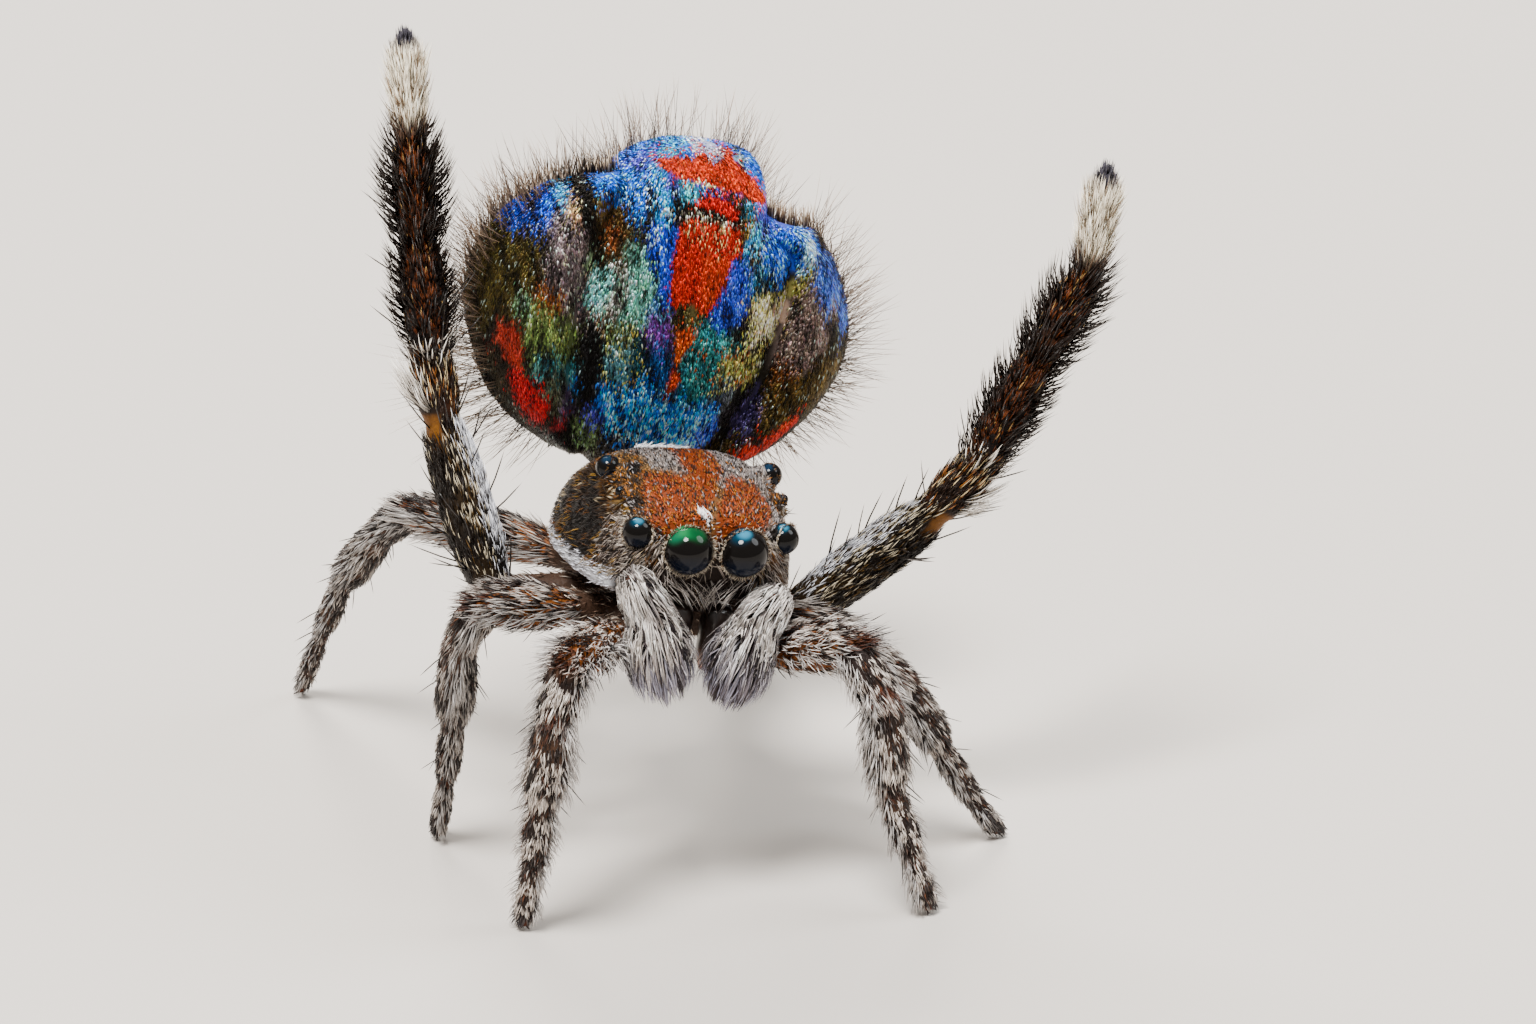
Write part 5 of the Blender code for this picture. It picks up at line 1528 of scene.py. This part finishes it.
count, rear = 510, 330
across = draw.uniform(-1, 1, count)
fore = draw.random(count - rear)
groups = [rooted_at(np.stack([across[rear:] * (.02 + .035 * fore) + .01 - .12 * fore,
                              -1.165 + .14 * fore, .69 + .18 * fore], 1),
                    np.tile((0, -.5, 1.0), (count - rear, 1))),
          rooted_at(np.stack([across[:rear] * .24 - .02, .44 + .10 * across[:rear] ** 2
                              + .08 * draw.random(rear),
                              .87 - .06 * across[:rear] ** 2 + .02 * draw.random(rear)], 1),
                    np.tile((0, .2, 1.0), (rear, 1)))]
found = [skin_tree.find_nearest(Vector(place)) for place in groups[0]["place"]]
groups[0]["place"] = np.array([near for near, normal, face, gap in found])
groups[0]["normal"] = np.array([normal for near, normal, face, gap in found])
roots = join_roots(groups)
way = np.concatenate([np.tile((-.35, .30, .80), (count - rear, 1)),
                      np.stack([across[:rear] * .3 + .9, np.full(rear, .3),
                                np.full(rear, .30)], 1)])
colour = lively(draw, evenly(count, 240, 238, 240), 0.08)
piece = hairs("white_tufts", roots, body_way(way + scatter(draw, count, .12)),
              draw.uniform(.09, .15, count), draw.uniform(.011, .018, count),
              body_way(np.tile((0, .01, -.03), (count, 1))), colour, painted_shading=(.7, 1, 1.1))
finish_piece(piece, hair_finish, smooth=False)


# The palps. Two short limbs before the face, hidden in long pale hairs that stand out from
# each joint like a stacked brush and curve down over the next length.

# Edges of the tiers along each length of a palp, with the count and the length of its hairs
TIERS = {1: ((0, .55, 1.0), 680, .21), 2: ((0, .50, 1.0), 900, .31),
         3: ((0, .30, .62, 1.0), 1800, .40)}
groups, ways, sizes, bends, shades = [], [], [], [], []
for form in forms_of("palp"):
    if form["number"] == 0:
        continue
    edges, count, length = TIERS[form["number"]]
    picked = sample(form, count, draw)
    edges = np.array(edges)
    share = limb_share(picked["floor"], form)
    place = np.clip(share + 0.04 * ripple(picked["floor"], 12, 8), .001, .999)
    tier = np.searchsorted(edges, place) - 1
    step = (place - edges[tier]) / (edges[tier + 1] - edges[tier])
    kept = draw.random(len(step)) < 1.35 - 1.1 * step
    picked = {key: value[kept] for key, value in picked.items()}
    share, step = share[kept], step[kept]
    number = len(share)
    groups.append(picked)
    down = limb_way(form) if form["number"] > 1 else np.array((0, -.3, .6))
    toward = np.tile(down, (number, 1))
    if form["number"] == 3:
        toward = unit(form["end"] + down * .22 - picked["floor"])
    stand = (1.85 - 1.05 * step) * (1 - 0.48 * ease(share, .35, .9))
    stand = stand * (.85 + .45 * np.abs(picked["normal"] @ view_right))
    ways.append(toward * .50 + picked["normal"] * stand[:, None] + scatter(draw, number, 0.12))
    length = length * draw.uniform(.75, 1.2, number)
    length = length * (1 - 0.50 * ease(share, .4, 1.0)) * (1.05 - 0.25 * step)
    sizes.append(length)
    bends.append((toward * .52 - picked["normal"] * (.34 * stand)[:, None]
                  + np.array((0, 0, -.10))) * length[:, None])
    pale = evenly(number, 240, 230, 222)
    if form["number"] == 3:
        pale = blend(pale, tint(146, 144, 160), ease(share + ripple(picked["floor"], 9, 2) * .1,
                                                     .10, .60))
    # Hairs towards the end of each tier are darker, as painted shade where they lie under the
    # longer hairs.
    pale = blend(pale, tint(90, 78, 78), ease(step, .45, .9) * .8)
    # Some hairs are dark: partly the palp's own dark hairs, partly painted shade for the gaps
    # between locks.
    shades.append(mixed(draw, pale, tint(44, 36, 38), .15 if form["number"] < 3 else .23))
roots = gather(groups)
way, length, bend, colour = together(ways, sizes, bends, shades)
bend, own = locks(draw, roots, way, length, bend, .10, .52)
led = draw.random(len(own)) < .6
colour[led] = colour[own[led]]
piece = hairs("palp_hairs", roots, way, length, draw.uniform(.013, .020, len(length)), bend,
              lively(draw, colour, .32), steps=(0.0, .35, .7), painted_shading=(.08, .48, 1.05, 1.35))
finish_piece(piece, hair_finish, smooth=False)


# The coat of the walking legs. Cream and brown hairs lie towards the foot in ragged dashes,
# with longer white ones at the sides, and leave the femur nearly bare below.

# Brightness of the coat on each pair of walking legs
LEG_TONE = {1: .86, 2: .58, 4: .58}


def leg_coat(pair, name, counts):
    """Coat of one pair of legs, with its count of hairs from the femur to the tarsus."""
    groups, ways, sizes, bends, shades = [], [], [], [], []
    for form in forms_of("leg", pair=pair):
        picked = sample(form, counts[form["number"]], draw, ground=0.03)
        share = limb_share(picked["floor"], form)
        number = len(share)
        along = limb_way(form)
        flank = np.abs(picked["normal"] @ form["level"])
        fringe = ease(flank, .72, .95) * (draw.random(number) < .40)
        lean = draw.uniform(.16, .40, number) + 0.60 * fringe
        groups.append(picked)
        ways.append(along + picked["normal"] * lean[:, None] + scatter(draw, number, 0.13))
        length = draw.uniform(.09, .17, number) * (1 + (1.1 - .2 * pair) * fringe)
        length = length * (1 if form["number"] < 3 else .8)
        bends.append(-picked["normal"] * (length * .18)[:, None])
        clump = (ripple(picked["floor"] + scatter(draw, number, .015), 34, 11 + pair)
                 + .5 * ripple(picked["floor"], 12, 14))
        bends[-1], own = locks(draw, picked, ways[-1], length, bends[-1], .17, .45)
        cream = draw.random(number) < np.clip(.36 + .52 * clump, .03, .94)
        cream = np.where(draw.random(number) < .8, cream[own], cream)
        base = evenly(number, 38, 28, 25)
        base = mixed(draw, base, tint(92, 58, 40), .12)
        base = mixed(draw, base, tint(100, 92, 90), .14)
        base[cream] = tint(218, 206, 196)
        ring = ease(np.abs(share - .5), .42, .48)
        base = blend(base, tint(104, 58, 40), ring * .6 * (draw.random(number) < .4))
        base = blend(base, tint(206, 200, 196), fringe * .9)
        if form["number"] == 4:
            base = blend(base, tint(62, 58, 62), ease(share, .72, .95) * .8)
        below = ease(-picked["normal"][:, 2], .15, .5) * (form["number"] == 0)
        length = length * (1 + .5 * (form["number"] == 0))
        bare = draw.random(number) < below * .72
        sizes.append(np.where(bare, .03, length))
        base[bare] = tint(120, 70, 28)
        shades.append(lively(draw, base * LEG_TONE[pair], .28))
    way, length, bend, colour = together(ways, sizes, bends, shades)
    piece = hairs(name, gather(groups), way, length, draw.uniform(.010, .016, len(length)), bend,
                  colour, painted_shading=(.40, 1.0, 1.2))
    finish_piece(piece, hair_finish, smooth=False)


leg_coat(1, "front_leg_hairs", (2600, 1300, 2100, 1200, 1000))
leg_coat(2, "second_leg_hairs", (2000, 1100, 1900, 1100, 900))
leg_coat(4, "hind_leg_hairs", (2600, 1000, 1700, 1000, 800))


# The coat of the raised legs. Cream lines on a dark olive femur, a bare amber knee, beyond it
# flat brown hairs between dark bristles that stand out, and a cream brush on the tarsus.

# Count, stand, length and width of the hairs on each length, from the femur to the tarsus
RAISED_HAIRS = ((4200, 0.22, .13, .012), (1300, 0.35, .14, .012), (2600, 0.80, .18, .012),
                (2400, 0.90, .22, .013), (2300, 0.30, .20, .012))


def raised_coat(side, name):
    """Coat of the raised leg of one side, with a look of its own on each length."""
    groups, ways, sizes, bends, shades, widths = [], [], [], [], [], []
    for form in forms_of("leg", pair=3, side=side):
        number = form["number"]
        tries, stand, length, width = RAISED_HAIRS[number]
        picked = sample(form, tries, draw)
        share = limb_share(picked["floor"], form)
        count = len(share)
        along = limb_way(form)
        inner = picked["normal"] @ (view_right * -side)
        stand, width = np.full(count, stand), np.full(count, width)
        length = length * draw.uniform(.7, 1.25, count)
        length = length * (1 - .50 * ease(share, .6, 1.0) * (number == 4))
        uneven = ripple(picked["floor"] + scatter(draw, count, .02), 24, 21)
        if number == 0:
            base = evenly(count, 22, 16, 11)
            # The femur is darker on its outer side, with fewer olive hairs and cream lines there:
            # partly its own colouring, partly painted shade.
            base = mixed(draw, base, tint(70, 50, 20), .22 * ease(inner, -.5, .2))
            lines = np.clip(.02 + .16 * uneven + .36 * ease(inner, -.35, .5), .01, .8)
            chosen = draw.random(count) < lines
            base[chosen] = tint(172, 160, 136)
            base = mixed(draw, base, tint(190, 190, 196), .9 * ease(inner, .35, .80))
        elif number == 1:
            base = evenly(count, 32, 20, 13)
            base = mixed(draw, base, tint(120, 72, 28), .20)
            base = mixed(draw, base, tint(190, 170, 130), .12)
            tuft = (-inner > .35) & (share < .62) & (draw.random(count) < .75)
            base[tuft] = tint(206, 198, 188)
            length = np.where(tuft, length * 2.3, length)
            width = np.where(tuft, .016, width)
            stand = np.where(tuft, 1.1, stand)
        elif number < 4:
            flat = draw.random(count) < .76
            base = evenly(count, 20, 11, 6)
            amber = draw.random(count) < .75 * ease(.85 - np.abs(inner), 0, .4) + .08
            base[amber & flat] = tint(78, 36, 10)
            base = mixed(draw, base, tint(160, 124, 72), np.where(flat, .05, 0))
            stand = np.where(flat, .18, 1.5)
            length = np.where(flat, length * .60, length * 1.45)
            width = np.where(flat, width, .017)
            if number == 2:
                base = mixed(draw, base, tint(206, 198, 186), .45 * ease(.20 - share, 0, .10))
        else:
            base = evenly(count, 214, 202, 180)
            base = mixed(draw, base, tint(104, 84, 64), .24)
            base = blend(base, tint(64, 46, 34), ease(.16 - share + .05 * uneven, 0, .12))
            base = blend(base, tint(50, 47, 54), ease(share + .06 * uneven, .72, .90))
            stand = np.where(draw.random(count) < .4, .75, .30)
            length = np.where(stand > .5, length * 1.15, length)
        bare = ((number == 1) & (share < .18) | (number == 0) & (share > .90)) & (inner < .1)
        picked = {key: value[~bare] for key, value in picked.items()}
        groups.append(picked)
        way = along + picked["normal"] * (stand * draw.uniform(.6, 1.3, count))[~bare][:, None]
        ways.append(way + scatter(draw, len(way), .14))
        sizes.append(length[~bare])
        bend = (along * .12 - picked["normal"] * .08) * length[~bare][:, None] * 2
        bends.append(locks(draw, picked, ways[-1], length[~bare], bend, .18, .40)[0])
        widths.append(width[~bare])
        shades.append(lively(draw, base, .28)[~bare])
    way, length, bend, colour, width = together(ways, sizes, bends, shades, widths)
    piece = hairs(name, gather(groups), way, length, width * draw.uniform(.8, 1.2, len(length)),
                  bend, colour, painted_shading=(.5, 1.0, 1.15))
    finish_piece(piece, bristle_finish, smooth=False)


raised_coat(1, "raised_leg_hairs_left")
raised_coat(-1, "raised_leg_hairs_right")


# The spines. Long stiff black bristles that stand out from the legs a few to each length,
# and from the head round the eyes.
groups, ways, sizes = [], [], []
for form in forms_of("leg"):
    counts = (26, 8, 14, 12) if form["pair"] == 3 else (12, 5, 10, 6)
    if form["number"] == 4:
        continue
    picked = sample(form, counts[form["number"]], draw, ground=0.12)
    number = len(picked["place"])
    along = limb_way(form)
    groups.append(picked)
    ways.append(along * .75 + picked["normal"] * .65 + scatter(draw, number, .15))
    sizes.append(draw.uniform(.26, .42, number) * (1.2 if form["pair"] == 3 else .85))
picked = sample(heads[0], 90, draw, lambda points: clear_of_eyes(points)
                * ease(from_body(points)[:, 2], .55, .75) * (from_body(points)[:, 1] < .3))
number = len(picked["place"])
groups.append(picked)
ways.append(picked["normal"] + scatter(draw, number, .3) + np.array((0, -.2, .3)))
sizes.append(draw.uniform(.12, .26, number))
roots = gather(groups)
way, length = together(ways, sizes)
colour = lively(draw, evenly(len(length), 26, 20, 18), .2)
piece = hairs("spines", roots, way, length, np.clip(length * .045, .009, .018),
              roots["normal"] * -.05 * length[:, None] + np.array((0, 0, .01)), colour,
              steps=(0, .35, .7), flat=1.0, painted_shading=(1, 1, 1, 1.1))
spine_finish = coat_material("black_spine", 0.30, 0.0, 30000, 0.4)
finish_piece(piece, spine_finish, smooth=False)


# The claws. Two small dark cones of hard cuticle at the end of each foot, spread apart and
# nearly hidden in its hair.
claw_pieces = []
for form in forms_of("leg", number=4):
    along = limb_way(form)
    tip = form["end"] + along * form["size"] * 0.40 + SHIFT
    for turn in (1, -1):
        bpy.ops.mesh.primitive_cone_add(vertices=10, radius1=0.016, radius2=0.003, depth=0.075)
        claw = bpy.context.object
        drop = np.array((0, 0, -0.35)) if form["pair"] == 3 else np.array((0.0, 0.0, 0.0))
        way = Vector(unit(along + form["level"] * turn * 0.45 + drop))
        if form["pair"] != 3:
            tip[2] = max(tip[2], 0.045)
            way = Vector((way.x, way.y, 0.0)) * 0.8 + Vector((0, 0, -0.25))
        claw.rotation_euler = way.to_track_quat("Z", "Y").to_euler()
        claw.location = Vector(tip) + Vector(form["level"]) * turn * 0.022 + way.normalized() * 0.02
        claw_pieces.append(claw)
choose(claw_pieces)
bpy.ops.object.transform_apply(location=True, rotation=True, scale=True)
bpy.ops.object.join()
claws = bpy.context.object
claws.name = "claws"
paint(claws.data, evenly(len(claws.data.vertices), 30, 20, 16))
finish_piece(claws, spine_finish)


# The fringe of the fan. Long fine brown hairs stand out all round its edge, a little paler
# above, with a tan beard low on the right flap; shorter ones cover the back.
def fan_outline(points):
    """Chance of a fringe hair: high on the turn of the edge, seen from the front."""
    local = from_fan(points)
    return ease(np.abs(local[:, 0]) / FAN_HALF + local[:, 2] / FAN_HEIGHT, .95, 1.25)


groups, ways, sizes, shades = [], [], [], []
for form in forms_of("fan") + forms_of("flap"):
    if form["kind"] == "flap":
        picked = sample(form, 560 if form["side"] > 0 else 760, draw,
                        window=((.42, .56), (0, 1)))
    else:
        picked = sample(form, 620, draw, fan_outline, window=((0, .5), (.60, 1)))
    local = from_fan(picked["floor"])
    count = len(local)
    out = np.stack([local[:, 0] * .55, np.full(count, .25), local[:, 2] - 1.05], 1)
    way = unit(fan_way(out))
    beard = ease(-local[:, 0], .9, 1.3) * ease(1.3 - local[:, 2], 0, .7)
    way = way + np.array((-.3, .1, -.1)) * beard[:, None]
    groups.append(picked)
    ways.append(way + picked["normal"] * .15 + scatter(draw, count, .30))
    sizes.append(draw.uniform(.22, .60, count) * (1 + .8 * beard))
    base = evenly(count, 124, 104, 88)
    base = blend(base, tint(150, 132, 118), ease(local[:, 2], 2.3, 2.9) * .6)
    base = blend(base, tint(158, 136, 114), beard)
    shades.append(mixed(draw, lively(draw, base, .3), tint(56, 46, 42), .25))
way, length, colour = together(ways, sizes, shades)
piece = hairs("fan_fringe", gather(groups), way, length,
              draw.uniform(.0055, .0085, len(length)),
              np.array((0, .05, .02)) * length[:, None] + scatter(draw, len(length), .02),
              colour, steps=(0, .35, .7), painted_shading=(.8, .95, 1.05, 1.2))
finish_piece(piece, hair_finish, smooth=False)


def behind_fan(points):
    """Chance of a hair on the back of the fan."""
    return 1 - in_front(points)


groups = [sample(form, 4800 if form["kind"] == "fan" else 2500, draw, behind_fan)
          for form in forms_of("fan") + forms_of("flap")]
roots = gather(groups)
count = len(roots["place"])
way = np.array((0, .10, .8)) + roots["normal"] * .45 + scatter(draw, count, .14)
colour = lively(draw, back_colour(from_fan(roots["floor"])) * 1.6, .3)
colour = mixed(draw, colour, tint(176, 158, 138), .25)
length = draw.uniform(.16, .30, count)
piece = hairs("fan_back_hairs", roots, way, length, draw.uniform(.012, .019, count),
              -roots["normal"] * (length * .2)[:, None], colour)
finish_piece(piece, hair_finish, smooth=False)


# The underside. Short soft brown hairs on the plate, the hips and the waist.
groups = [sample(form, 700 if form["name"] == "underside" else 260, draw)
          for form in forms_of("under")]
roots = gather([group for group in groups if len(group["place"])])
count = len(roots["place"])
way = roots["along"] + roots["normal"] * .4 + scatter(draw, count, .2)
colour = mixed(draw, evenly(count, 96, 74, 60), tint(188, 174, 158), .35)
piece = hairs("underside_hairs", roots, way, draw.uniform(.08, .15, count),
              draw.uniform(.011, .016, count), -roots["normal"] * .015, lively(draw, colour, .2))
finish_piece(piece, hair_finish, smooth=False)
